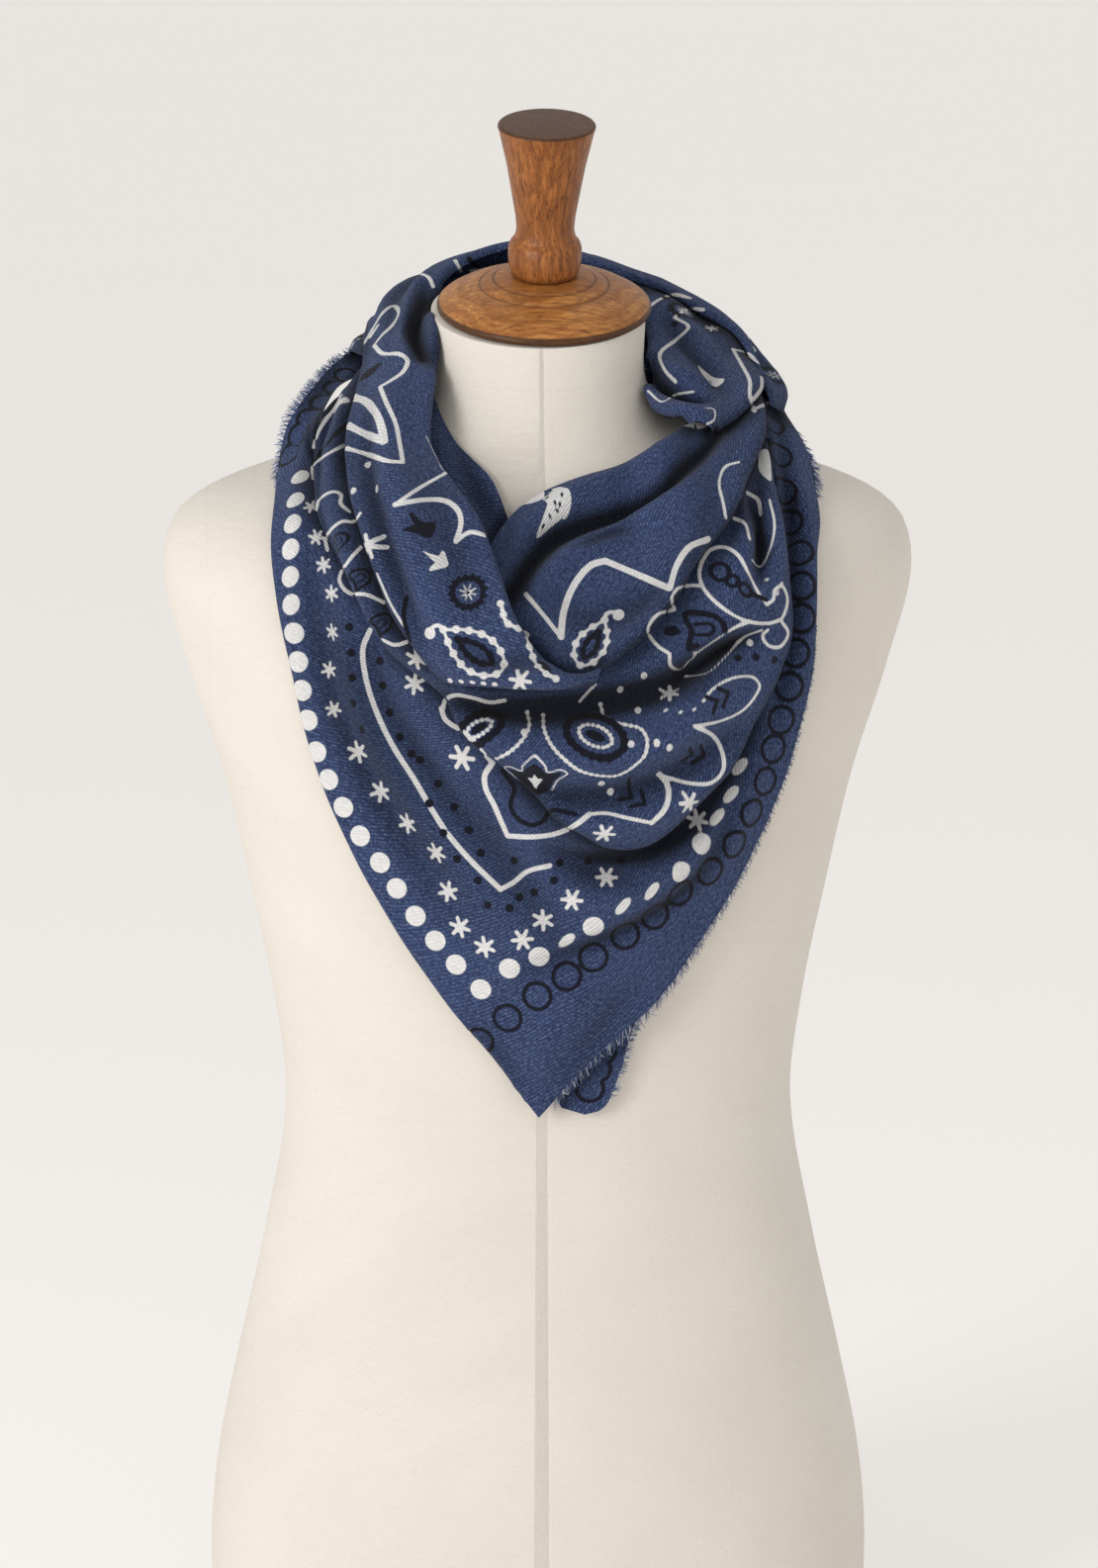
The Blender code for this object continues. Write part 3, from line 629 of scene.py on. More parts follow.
def print_line(line):
    """Prints a smooth line through places of the picture, on whichever stretches it is seen on."""
    run = []
    on = None
    for px, py in smooth_line(line.spots, LINE_STEP):
        seen = first_seen(px, py)
        if seen is None:
            continue
        cloth, place, _ = seen
        if cloth is not on:
            if len(run) > 1:
                on.line(line.ink, line.width, np.array(run))
            run = []
        on = cloth
        run.append(place)
    if len(run) > 1:
        on.line(line.ink, line.width, np.array(run))


def print_motif(motif, px, py, turn=0.0, scale=1.0):
    """Prints a motif at a place of the picture."""
    seen = first_seen(px, py)
    if seen:
        seen[0].stamp(motif, seen[1], seen[2], turn, scale)


# A motif is a list of parts, printed one over the other, with sizes in mm. A part has its ink, a function
# that says how far each flat place is outside it, and how far it reaches from the motif's middle.
Part = namedtuple("Part", "ink outside reach")


def disc(ink, radius, x=0.0, y=0.0, stretch=1.0):
    """A disc, or an oval where it is stretched along y."""
    def outside(flat):
        return np.hypot(flat[:, 0] - x, (flat[:, 1] - y) / stretch) - radius
    return Part(ink, outside, math.hypot(x, y) + radius * max(1, stretch))


def ring(ink, radius, width, teeth=0, depth=0.0, x=0.0, y=0.0):
    """A ring whose outside may have teeth."""
    def outside(flat):
        angle = np.arctan2(flat[:, 1] - y, flat[:, 0] - x)
        away = np.hypot(flat[:, 0] - x, flat[:, 1] - y)
        tooth = depth * np.clip(np.cos(teeth * angle), 0, 1) if teeth else 0
        return np.maximum(away - radius - tooth, radius - width - away)
    return Part(ink, outside, math.hypot(x, y) + radius + depth)


def stroke(ink, width, spots, closed=False, smooth=True):
    """A line of one width through some places."""
    spots = joined_ends(spots, closed)
    line = smooth_line(spots, INK_STEP) if smooth else np.array(spots, dtype=float)

    def outside(flat):
        return line_distance(flat, line, NO_LIMIT)[0] - width / 2
    return Part(ink, outside, np.linalg.norm(line, axis=1).max() + width)


def fill(ink, spots, smooth=True, margin=0.0):
    """A filled outline, grown by a margin."""
    spots = joined_ends(spots)
    line = smooth_line(spots, INK_STEP) if smooth else np.array(spots, dtype=float)

    def outside(flat):
        inside = np.zeros(len(flat), dtype=bool)
        for (x0, y0), (x1, y1) in zip(line, line[1:]):
            crosses = (y0 > flat[:, 1]) != (y1 > flat[:, 1])
            at = x0 + (flat[:, 1] - y0) * (x1 - x0) / (y1 - y0 if y1 != y0 else 1e-9)
            inside ^= crosses & (flat[:, 0] < at)
        away = line_distance(flat, line, NO_LIMIT)[0]
        return np.where(inside, -away, away) - margin
    return Part(ink, outside, np.linalg.norm(line, axis=1).max() + margin)


def beads(ink, radius, spots, gap, closed=False):
    """Discs in a row along a smooth line."""
    places = smooth_line(joined_ends(spots, closed), gap)

    def outside(flat):
        return np.min([np.hypot(flat[:, 0] - x, flat[:, 1] - y) for x, y in places], axis=0) - radius
    return Part(ink, outside, np.linalg.norm(places, axis=1).max() + radius)


def flipped(spots):
    """Places mirrored from left to right."""
    return [(-x, y) for x, y in spots]


# ---------------------------------------------------------------- folds
# A crease's line runs through places given as shares along and across its stretch, and a fold's line through
# places of the picture. Height and width are mm; a trough has a negative height.
Fold = namedtuple("Fold", "spots height width")
PANEL_CREASES = [
    Fold([(0.24, 0.62), (0.44, 0.66)], -3.0, 14),
    Fold([(0.56, 0.30), (0.72, 0.45)], 3.0, 12),
]
PANEL_FOLDS = [
    Fold([(312, 560), (322, 640), (340, 720), (378, 800), (420, 870), (455, 930)], -3.4, 8),
    Fold([(345, 600), (356, 680), (388, 760), (440, 840), (495, 910)], 4.5, 8),
    Fold([(372, 620), (384, 700), (420, 760), (470, 830), (530, 890)], -3.4, 8),
    Fold([(455, 780), (500, 860), (545, 925), (575, 985)], -2.6, 10),
    Fold([(560, 862), (600, 870), (655, 862), (700, 836), (735, 792), (762, 738), (780, 690)], -8.5, 8),
    Fold([(560, 868), (600, 884), (650, 884)], -4.0, 8),
    Fold([(745, 812), (712, 876), (655, 925), (590, 958), (530, 985)], -4.5, 6),
    Fold([(765, 790), (735, 850), (690, 895), (630, 930), (570, 955)], 5.0, 8),
    Fold([(725, 830), (690, 868), (620, 905), (560, 915)], 5.0, 8),
    Fold([(470, 1040), (505, 1075), (520, 1110)], -2.0, 8),
    Fold([(600, 985), (560, 1035), (530, 1090)], 2.5, 10),
    Fold([(640, 1000), (600, 1050), (565, 1100)], -1.8, 8),
    Fold([(314, 440), (300, 500), (300, 560), (310, 620)], 3.0, 8),
    Fold([(300, 415), (318, 398), (335, 380), (350, 362)], -3.5, 5),
    Fold([(806, 480), (818, 560), (816, 640), (800, 720)], 3.5, 7),
    Fold([(785, 420), (798, 500), (802, 580), (798, 660), (785, 730)], -4.5, 5),
]
SWAG_CREASES = [
    Fold([(0.70, 0.20), (0.84, 0.75)], -4.0, 7),
    Fold([(0.52, 0.55), (0.70, 0.65)], 3.0, 12),
]
SWAG_FOLDS = [
    Fold([(430, 700), (470, 714), (520, 717), (570, 716), (620, 709), (665, 697), (705, 676),
          (740, 650)], -9.0, 8.5),
    Fold([(455, 735), (520, 762), (600, 768), (665, 752), (725, 722), (780, 690)], 7.0, 9),
    Fold([(480, 770), (550, 802), (630, 802), (700, 775), (755, 735)], -4.0, 7),
    Fold([(520, 800), (590, 830), (660, 824), (720, 785), (772, 730)], 5.5, 8),
    Fold([(770, 640), (735, 655), (705, 676), (680, 690)], -8.5, 4.5),
    Fold([(790, 625), (745, 634), (705, 650), (665, 668)], 5.5, 7),
    Fold([(785, 655), (750, 674), (712, 700), (670, 715)], 5.0, 6),
    Fold([(762, 505), (772, 545), (768, 580)], -8.5, 4.5),
    Fold([(745, 500), (752, 540), (748, 585), (725, 620)], 5.0, 6),
    Fold([(782, 500), (788, 550), (784, 600)], 3.5, 5),
    Fold([(335, 500), (352, 560), (385, 640), (430, 705)], 4.5, 6),
    Fold([(322, 520), (338, 585), (372, 655), (420, 720)], -3.5, 5),
    Fold([(352, 395), (340, 440), (335, 490)], 3.5, 5),
    Fold([(332, 395), (322, 440), (320, 500)], -3.0, 4),
    Fold([(758, 380), (772, 430), (778, 490)], 4.0, 5),
]
COWL_FOLDS = [
    Fold([(488, 640), (512, 606), (526, 584), (540, 564), (560, 543), (590, 528), (625, 517), (660, 498),
          (694, 470), (716, 447), (735, 422), (750, 398)], -10.0, 5.6),
    Fold([(505, 560), (530, 536), (555, 516), (590, 496), (628, 482), (662, 462), (694, 434),
          (712, 418)], 6.0, 7.5),
    Fold([(535, 612), (556, 580), (590, 556), (632, 536), (676, 508), (710, 478), (740, 450)], 6.5, 8),
    Fold([(585, 556), (610, 545), (640, 538)], -4.0, 4),
    Fold([(530, 630), (560, 664), (600, 680), (645, 668), (690, 630)], 4.0, 7),
    Fold([(560, 610), (600, 625), (645, 610), (690, 570)], -3.0, 9),
    Fold([(745, 470), (748, 520), (722, 575), (690, 625)], 4.0, 6),
    Fold([(727, 500), (712, 550), (680, 600)], -3.0, 7),
]
CREST_FOLDS = [
    Fold([(650, 366), (664, 380), (680, 392), (700, 400), (716, 402)], -9.0, 4.2),
    Fold([(652, 350), (664, 364), (684, 376), (708, 384)], 4.5, 5),
    Fold([(668, 408), (690, 416), (712, 422), (722, 432)], 5.0, 5),
    Fold([(672, 318), (690, 345), (716, 372), (732, 400)], -4.0, 6),
    Fold([(690, 322), (715, 350), (735, 385)], 3.0, 6),
]
STRAND_FOLDS = [
    Fold([(432, 285), (424, 312), (419, 334), (424, 352), (436, 372)], -9.0, 4.5),
    Fold([(458, 290), (448, 330), (452, 380), (470, 430)], 4.5, 6),
    Fold([(420, 295), (410, 340), (412, 380)], 4.0, 5),
    Fold([(376, 400), (370, 460), (384, 530), (408, 600), (430, 655)], -4.0, 5),
    Fold([(395, 380), (392, 450), (408, 520), (438, 600), (462, 655)], 4.5, 9),
    Fold([(362, 360), (354, 430), (362, 500), (388, 580), (415, 650)], 3.5, 5),
    Fold([(462, 450), (495, 530), (520, 610), (548, 665)], 4.5, 8),
    Fold([(430, 470), (455, 540), (480, 610)], -2.5, 10),
    Fold([(440, 664), (490, 684), (540, 688), (590, 686)], 4.0, 6),
    Fold([(455, 655), (500, 668), (560, 668)], -2.5, 6),
]
STRAND_CREASES = [
    Fold([(0.04, 0.34), (0.18, 0.36), (0.29, 0.42), (0.41, 0.36), (0.53, 0.48)], -5.0, 5),
    Fold([(0.05, 0.52), (0.18, 0.56), (0.31, 0.60), (0.43, 0.56), (0.55, 0.66)], 5.0, 7),
    Fold([(0.08, 0.80), (0.21, 0.84), (0.34, 0.76), (0.46, 0.84)], -3.5, 5),
    Fold([(0.10, 0.14), (0.23, 0.14), (0.37, 0.20), (0.50, 0.16)], 3.0, 6),
    Fold([(0.10, 0.55), (0.22, 0.62), (0.36, 0.62), (0.50, 0.55)], 5.0, 14),
]
BACK_OVER_CREASES = [
    Fold([(0.05, 0.30), (0.30, 0.46), (0.62, 0.40), (0.95, 0.26)], -5.5, 5),
    Fold([(0.05, 0.48), (0.32, 0.62), (0.64, 0.58), (0.95, 0.44)], 5.0, 6),
    Fold([(0.10, 0.74), (0.38, 0.80), (0.72, 0.76), (0.92, 0.66)], -4.0, 5),
    Fold([(0.12, 0.14), (0.42, 0.22), (0.80, 0.14)], 4.0, 6),
]
BACK_UNDER_CREASES = [
    Fold([(0.06, 0.40), (0.30, 0.56), (0.62, 0.50), (0.94, 0.36)], -4.0, 6),
    Fold([(0.08, 0.62), (0.40, 0.74), (0.78, 0.64)], 3.5, 7),
]
CREST_CREASES = [
    Fold([(0.04, 0.40), (0.16, 0.50), (0.28, 0.46)], -4.0, 5),
    Fold([(0.04, 0.65), (0.18, 0.72), (0.30, 0.66)], 3.5, 5),
]
INNER_FOLDS = [
    Fold([(455, 420), (475, 480), (505, 545), (520, 580)], -3.0, 6),
]

# A row of loose yarn ends: its name, the stretch whose outer edge is frayed, the shares of its length it runs
# from and to, and in mm how long the first and the last of the ends are and how far apart they stand.
Fray = namedtuple("Fray", "name stretch first last length_first length_last pitch")
FRAYS = [
    Fray("fringe_point", "scarf_front_panel", 0.51, 0.78, 7.0, 1.5, 0.42),
    Fray("fringe_left_shoulder", "scarf_front_panel", 0.03, 0.17, 3.5, 6.5, 0.3),
    Fray("fringe_back", "scarf_back_under", 0.08, 0.82, 5.5, 5.5, 0.45),
    Fray("fringe_right_shoulder", "scarf_back_under", 0.82, 0.98, 5.5, 5.5, 0.3),
    Fray("fringe_under_corner", "scarf_under_corner", 0.06, 0.78, 4.5, 4.5, 0.5),
]


# ---------------------------------------------------------------- motifs, in mm
def spokes(ink, count, inner, outer, width, start=90.0):
    """Short strokes round a centre."""
    parts = []
    for k in range(count):
        turn = math.radians(start + 360 * k / count)
        way = (math.cos(turn), math.sin(turn))
        parts.append(stroke(ink, width, [(way[0] * inner, way[1] * inner), (way[0] * outer, way[1] * outer)],
                            smooth=False))
    return parts


STAR = spokes("white", 6, 0.4, 3.5, 1.35) + [disc("white", 0.8)]
SMALL_DOT = [disc("dark", 2.2)]
BEAD = [disc("white", 1.75, stretch=1.2)]
DASH = [disc("white", 0.8, stretch=1.9)]
FLECK = [disc("dark", 0.8, stretch=2.2)]
BORDER_DISC = [disc("white", 5.4)]
SIDE_DISC = [disc("white", 4.7, stretch=1.18)]
LEANING_DISC = [disc("white", 2.7, stretch=2.0)]
BACK_DISC = [disc("white", 5.2)]
ARROW = [fill("dark", [(-6, 7), (-4, 7.5), (1, 2.5), (4.5, 3.5), (8, 4.5), (8, -0.5), (5.5, -6), (2.5, -6),
                       (-4, -4), (-9, -2.5), (-7, -1), (-3, 0.5), (-5.5, 4.5)], smooth=False)]
PALE_ARROW = [fill("white", [(-7, 4.5), (-2.5, 3), (2, 2.5), (3.5, 6), (5, 5.5), (7, -1.5), (5.5, -3.5),
                             (-2.5, -6.5), (-3, -5), (0, -1.5)], smooth=False)]
BLOOM = ([ring("dark", 8.6, 2.6, teeth=16, depth=1.6)] + spokes("white", 8, 1.2, 4.2, 0.75, 20.0)
         + [disc("dark", 0.9)])
CLOVER = [ring("dark", 6.5, 1.7), ring("dark", 3.6, 1.6, x=9.4, y=2.2), ring("dark", 3.6, 1.6, x=-9.4, y=2.2)]


def leaf_motif(length, width, flip=False):
    """A pointed leaf in a scalloped outline that ends in a curl, with a dark leaf inside."""
    half = length / 2
    side = [(width * 0.34, half * 0.45), (width * 0.5, -half * 0.2), (width * 0.3, -half * 0.8)]
    outline = [(0, half)] + side + [(0, -half)] + flipped(side)[::-1]
    inner = [(x * 0.40, y * 0.58 - 1) for x, y in outline]
    curl = [(0, half), (-0.5, half + 3.0), (2.5, half + 5.5), (5.5, half + 5.0)]
    curl = flipped(curl) if flip else curl
    return [stroke("white", 1.5, outline, closed=True), beads("white", 2.0, outline, 6.4, closed=True),
            stroke("dark", 2.4, inner, closed=True), beads("dark", 1.9, inner, 4.2, closed=True),
            stroke("white", 1.9, curl), disc("white", 3.0, *curl[-1])]


def oval(wide, high, count=10):
    """Places round an oval."""
    return [(wide * math.cos(2 * math.pi * k / count), high * math.sin(2 * math.pi * k / count))
            for k in range(count)]


def eye_motif(wide, high):
    """The heart of a paisley: a scalloped dark ring round a stippled white loop and a dark core."""
    ring_line = oval(wide, high)
    loop = [(x * 0.58, y * 0.50) for x, y in ring_line]
    return [stroke("dark", 3.4, ring_line, closed=True), beads("dark", 2.3, ring_line, 4.2, closed=True),
            stroke("white", 0.9, loop, closed=True), beads("white", 1.15, loop, 2.5, closed=True),
            fill("dark", [(x * 0.30, y * 0.16) for x, y in ring_line], margin=0.8)]


def paisley_motif(size, flip=False):
    """A teardrop in a toothed white outline, round an eye."""
    drop = [(-0.52, 0.72), (-0.56, 0.15), (-0.34, -0.34), (0.10, -0.58), (0.54, -0.44), (0.70, -0.02),
            (0.50, 0.30), (0.16, 0.36), (-0.06, 0.54), (-0.12, 0.86)]
    drop = [(x * size, y * size) for x, y in (flipped(drop) if flip else drop)]
    return [stroke("white", 1.3, drop), beads("white", 1.15, drop, 3.0)] + eye_motif(size * 0.34, size * 0.22)


def tulip_motif():
    """A dark three-pointed flower inside a fine white outline, with a small white arrowhead."""
    petals = [(3.5, 8), (5.5, 4), (13, 4), (8.5, -1), (6, -7)]
    frame = [(3, 12.5), (5.8, 9), (6.5, 5.5), (13, 6.5), (16, 4), (11, -1), (8, -7)]
    arrow = [(1, 0.5), (3.6, 0.3), (1.2, -3)]
    flower = [(0, 10.5)] + petals + [(0, -9)] + flipped(petals)[::-1]
    head = [(0, 3.5)] + arrow + [(0, -6)] + flipped(arrow)[::-1]
    return [fill("dark", flower, smooth=False, margin=0.5), fill("white", head, smooth=False, margin=0.3),
            stroke("white", 0.95, flipped(frame)[::-1] + [(0, 14.5)] + frame)]


def chevrons_motif():
    """Two dark angles, one inside the other."""
    return [stroke("dark", 2.2, [(-6.5, 5), (-1.5, 0), (-6.5, -4)], smooth=False),
            stroke("dark", 2.2, [(1.0, 6), (6, 0.5), (0, -4.5)], smooth=False)]


def petal_eye_motif():
    """A dark flower bud shaped like a U within a U."""
    return [stroke("dark", 2.3, [(-7, -6.5), (4.5, -5.5), (8, 0), (4.5, 5), (-7, 6), (-5, 0)], closed=True),
            stroke("dark", 1.5, [(-3.5, -2.2), (2.5, -2), (3.8, 0), (2.5, 2), (-3.5, 2.4)])]


def chain_motif():
    """Three dark rings joined in a row."""
    return [ring("dark", 4.6, 1.9, y=6.5), ring("dark", 3.2, 1.7, x=1.0, y=0.2),
            ring("dark", 2.8, 1.5, x=2.6, y=-5.0), stroke("dark", 1.9, [(4, -7), (7, -11)], smooth=False)]


# ---------------------------------------------------------------- the print, by where it is seen
def star_turn(px, _):
    """A turn for a star that changes from place to place."""
    return px * 7 % 60


def fleck_turn(px, py):
    """A turn for a fleck that changes from place to place."""
    return (px + py) * 11 % 90 - 45


# Motifs seen at many places. The turn is in degrees, or a function of the place.
Spread = namedtuple("Spread", "motif scale turn places")
DISCS_AND_STARS = [
    Spread(BORDER_DISC, 1.0, 0, [
        (297, 640), (301, 669), (305, 698), (311, 728), (320, 760), (332, 788), (347, 816), (364, 845),
        (384, 872), (401, 898), (420, 926), (440, 951), (461, 975), (486, 1000), (515, 979), (545, 967),
        (600, 937), (689, 882), (710, 853)]),
    Spread(SIDE_DISC, 1.0, -28, [(303, 482), (298, 505), (295, 529), (293, 555), (293, 583), (294, 611)]),
    Spread(LEANING_DISC, 1.0, -42, [(573, 951), (630, 916), (659, 901), (725, 826), (739, 803), (748, 775)]),
    Spread(STAR, 1.1, star_turn, [
        (315, 512), (320, 543), (327, 571), (335, 600), (336, 639), (333, 677), (337, 717)]),
    Spread(STAR, 1.45, star_turn, [
        (362, 760), (385, 800), (412, 832), (441, 862), (453, 901), (465, 937), (490, 957), (528, 950),
        (549, 930), (578, 910), (613, 887), (611, 843), (697, 812), (705, 829), (677, 701), (421, 666),
        (419, 691), (526, 688)]),
    Spread(STAR, 1.75, star_turn, [(467, 766), (372, 552)]),
]
DOTS_AND_DASHES = [
    Spread(FLECK, 1.0, fleck_turn, [
        (553, 503), (556, 522), (561, 508), (568, 500), (563, 516), (549, 532), (566, 510), (718, 386),
        (722, 392), (703, 431), (557, 496)]),
    Spread(SMALL_DOT, 1.0, 0, [
        (353, 634), (355, 660), (356, 685), (357, 711), (366, 738), (384, 668), (387, 693), (394, 720),
        (404, 745), (425, 768), (443, 792), (459, 816), (474, 839), (486, 862), (520, 870), (566, 872),
        (595, 870), (628, 869), (483, 890), (560, 890), (540, 902), (525, 907), (493, 915), (515, 918),
        (746, 665), (764, 664), (783, 667), (416, 762), (434, 812), (448, 842), (462, 868)]),
    Spread(BEAD, 1.0, 0, [
        (357, 496), (381, 494), (651, 683), (664, 751), (677, 756), (608, 792), (617, 800), (758, 650),
        (372, 470), (645, 718), (627, 697), (638, 752), (530, 740)]),
    Spread(DASH, 1.0, -60, [(673, 718), (688, 720), (702, 717), (775, 586), (790, 590)]),
    Spread(DASH, 1.0, -50, [(786, 600)]),
]
# The dark rings along the border.
RINGS = [
    (352, 380), (341, 391), (327, 406), (314, 422), (303, 440), (292, 460), (436, 1008), (455, 1030),
    (485, 1052), (513, 1029), (543, 1007), (573, 987), (600, 968), (632, 945), (662, 925), (687, 902),
    (718, 881), (744, 854), (761, 822), (774, 790), (782, 757), (790, 728), (798, 694), (804, 660),
    (810, 625), (810, 592), (808, 559), (798, 529), (791, 496), (787, 460), (780, 428),
]

# Single motifs, printed before the toothed lines and after them.
Placed = namedtuple("Placed", "motif px py turn scale")
STRAND_MOTIFS = [
    Placed(ARROW, 425, 532, 0, 1.0),
    Placed(PALE_ARROW, 440, 566, 0, 1.0),
    Placed(BLOOM, 473, 599, 8, 1.05),
    Placed(leaf_motif(36, 19, flip=True), 478, 657, 56, 1.0),
    Placed(leaf_motif(30, 15), 599, 650, -24, 1.0),
]
CHEST_MOTIFS = [
    Placed(eye_motif(15.5, 11.0), 602, 744, -26, 1.0),
    Placed(eye_motif(12.5, 7.0), 484, 736, 28, 1.0),
    Placed(tulip_motif(), 541, 788, 4, 1.0),
    Placed(chevrons_motif(), 728, 707, 18, 1.0),
    Placed(chevrons_motif(), 702, 763, -24, 1.0),
    Placed(chevrons_motif(), 641, 808, -28, 1.0),
    Placed(petal_eye_motif(), 712, 636, 6, 1.3),
    Placed(chain_motif(), 739, 589, 42, 1.25),
    Placed(petal_eye_motif(), 342, 547, 30, 0.62),
    Placed(petal_eye_motif(), 364, 584, 30, 0.7),
    Placed(petal_eye_motif(), 386, 630, 35, 0.7),
]

# Lines: the ink, the width in mm and the places they run through.
Line = namedtuple("Line", "ink width spots")
LINES = [
    # the panel's long pointed frame
    Line("white", 2.7, [(374, 637), (367, 655), (370, 686), (380, 718), (396, 752), (420, 790), (434, 814),
                        (452, 842), (475, 869), (506, 899)]),
    Line("white", 2.5, [(506, 899), (519, 892), (533, 881), (556, 875)]),
    # the scalloped frame round the middle, on the panel
    Line("white", 2.6, [(446, 716), (450, 727), (470, 741), (498, 771)]),
    Line("white", 2.9, [(498, 771), (490, 784), (491, 797), (499, 813), (506, 829), (513, 845)]),
    Line("white", 2.7, [(513, 845), (538, 846), (561, 843), (580, 835), (596, 823)]),
    # and on the swag
    Line("white", 1.9, [(596, 823), (612, 822), (635, 827), (659, 832)]),
    Line("white", 2.8, [(659, 832), (672, 818), (676, 803), (674, 792), (666, 782)]),
    Line("white", 2.1, [(665, 783), (678, 787), (700, 792), (720, 791), (731, 779), (730, 760), (721, 744),
                        (702, 734)]),
    Line("white", 1.6, [(702, 734), (728, 729), (751, 718), (764, 703), (768, 693), (762, 685), (748, 684),
                        (732, 689), (718, 699), (711, 709)]),
    Line("white", 2.2, [(448, 716), (450, 708), (458, 703), (476, 705), (496, 710), (510, 708)]),
    Line("white", 1.6, [(586, 709), (594, 700), (602, 692)]),
    # the cowl
    Line("white", 2.3, [(531, 600), (548, 620), (567, 644)]),
    Line("white", 3.4, [(567, 644), (570, 618), (580, 592), (598, 571), (612, 567)]),
    Line("white", 3.4, [(612, 567), (645, 581), (677, 595)]),
    Line("white", 3.4, [(677, 595), (684, 572), (697, 553), (716, 545)]),
    Line("white", 1.5, [(747, 467), (733, 472), (727, 488), (731, 508), (734, 524)]),
    # the left strand
    Line("white", 2.4, [(367, 349), (378, 330), (388, 315), (398, 309), (403, 314), (398, 327), (386, 339),
                        (378, 349)]),
    Line("white", 2.4, [(378, 349), (386, 357), (404, 358), (412, 364), (408, 375), (396, 384), (384, 391)]),
    Line("white", 2.4, [(384, 391), (391, 408), (400, 428), (404, 448), (407, 465)]),
    Line("white", 2.6, [(407, 467), (392, 466), (374, 460), (350, 453)]),
    Line("white", 4.6, [(358, 402), (370, 406), (380, 418), (386, 434), (388, 446)]),
    Line("white", 4.2, [(388, 446), (370, 439), (352, 430)]),
    Line("white", 2.2, [(382, 329), (374, 341)]),
    Line("white", 2.0, [(451, 478), (426, 492), (399, 510)]),
    Line("white", 2.8, [(399, 510), (432, 505), (452, 507), (463, 516), (466, 528), (461, 547)]),
    Line("white", 2.4, [(461, 547), (475, 538), (493, 542)]),
    Line("white", 0.7, [(431, 441), (441, 462), (448, 476)]),
    # the pleats on the left shoulder
    Line("white", 2.0, [(317, 484), (316, 472), (328, 461), (348, 450)]),
    Line("white", 2.2, [(317, 452), (322, 436), (336, 415), (345, 400)]),
    Line("white", 2.0, [(320, 515), (322, 506), (337, 497), (345, 500), (344, 508), (353, 517)]),
    Line("white", 1.9, [(331, 556), (329, 545), (336, 534), (346, 527), (358, 527), (364, 519)]),
    Line("white", 1.9, [(365, 553), (354, 565), (343, 586), (352, 599), (370, 601), (388, 609)]),
    Line("white", 1.5, [(381, 580), (395, 611), (412, 639)]),
    Line("white", 2.0, [(387, 647), (399, 652), (414, 648)]),
    # the curling leaf on the right of the swag
    Line("white", 1.9, [(709, 569), (718, 556), (732, 553), (745, 560), (757, 580), (766, 598), (775, 611)]),
    Line("white", 1.9, [(709, 569), (707, 580), (711, 594), (730, 614), (756, 628), (778, 630), (790, 626)]),
    Line("white", 1.9, [(775, 611), (782, 606), (783, 597), (790, 592), (796, 604), (794, 618), (790, 626)]),
    Line("white", 1.8, [(709, 592), (696, 592), (684, 596), (679, 606), (682, 616)]),
    Line("white", 1.8, [(682, 616), (664, 622), (655, 637), (664, 652), (677, 661)]),
    Line("white", 1.8, [(677, 661), (678, 673), (686, 677), (697, 668), (703, 661), (700, 656)]),
    Line("white", 2.0, [(703, 661), (722, 648), (744, 634), (758, 628)]),
    Line("white", 1.9, [(790, 628), (797, 640), (788, 654), (776, 652), (771, 642), (776, 637)]),
    Line("white", 1.7, [(693, 684), (715, 680), (735, 662), (752, 644), (770, 637)]),
    Line("white", 2.0, [(739, 523), (753, 529), (758, 545)]),
    Line("white", 2.0, [(755, 498), (766, 505), (769, 520)]),
    Line("white", 1.3, [(778, 505), (783, 530), (778, 556), (768, 573), (760, 566)]),
    # the collar behind and beside the cap
    Line("white", 2.0, [(423, 276), (433, 280), (438, 290)]),
    Line("white", 2.2, [(460, 263), (466, 274)]),
    Line("dark", 3.0, [(474, 262), (483, 270)]),
    Line("white", 2.0, [(653, 313), (666, 303), (682, 298), (698, 301)]),
    Line("white", 2.0, [(711, 313), (694, 313), (682, 321)]),
    Line("white", 2.0, [(682, 321), (696, 330), (684, 343), (667, 358), (672, 374), (683, 386)]),
    Line("white", 1.3, [(655, 395), (669, 406), (683, 399), (701, 396)]),
    Line("white", 1.2, [(712, 412), (722, 414), (722, 424), (712, 430)]),
    Line("white", 2.0, [(741, 353), (755, 357), (768, 368)]),
    Line("white", 2.0, [(741, 353), (750, 369), (758, 385), (758, 400), (763, 416)]),
    Line("white", 2.2, [(761, 414), (778, 407)]),
    Line("white", 2.2, [(770, 378), (770, 392), (762, 404)]),
    Line("white", 1.8, [(628, 252), (640, 262), (646, 272)]),
    # dark strokes
    Line("dark", 2.6, [(318, 466), (328, 452), (342, 436), (350, 430)]),
    Line("dark", 2.4, [(411, 604), (408, 620), (414, 648)]),
    Line("dark", 2.5, [(508, 779), (520, 798), (516, 814), (524, 828), (539, 834), (550, 829), (556, 820),
                       (582, 823)]),
]
# Lines with a tooth to each side of them every few mm.
TOOTH_RADIUS = 1.15              # mm
TOOTH_GAP = 3.0
TOOTHED = [
    Line("white", 1.3, [(549, 723), (550, 737), (558, 754), (571, 768), (586, 779), (605, 784), (624, 784),
                        (639, 776), (652, 763), (654, 747), (648, 737), (630, 732), (612, 726), (607, 712)]),
    Line("white", 1.3, [(533, 720), (535, 734), (527, 749), (514, 761), (502, 767)]),
    Line("white", 1.4, [(506, 610), (513, 630), (529, 638), (535, 652), (542, 671), (551, 680), (562, 686)]),
]
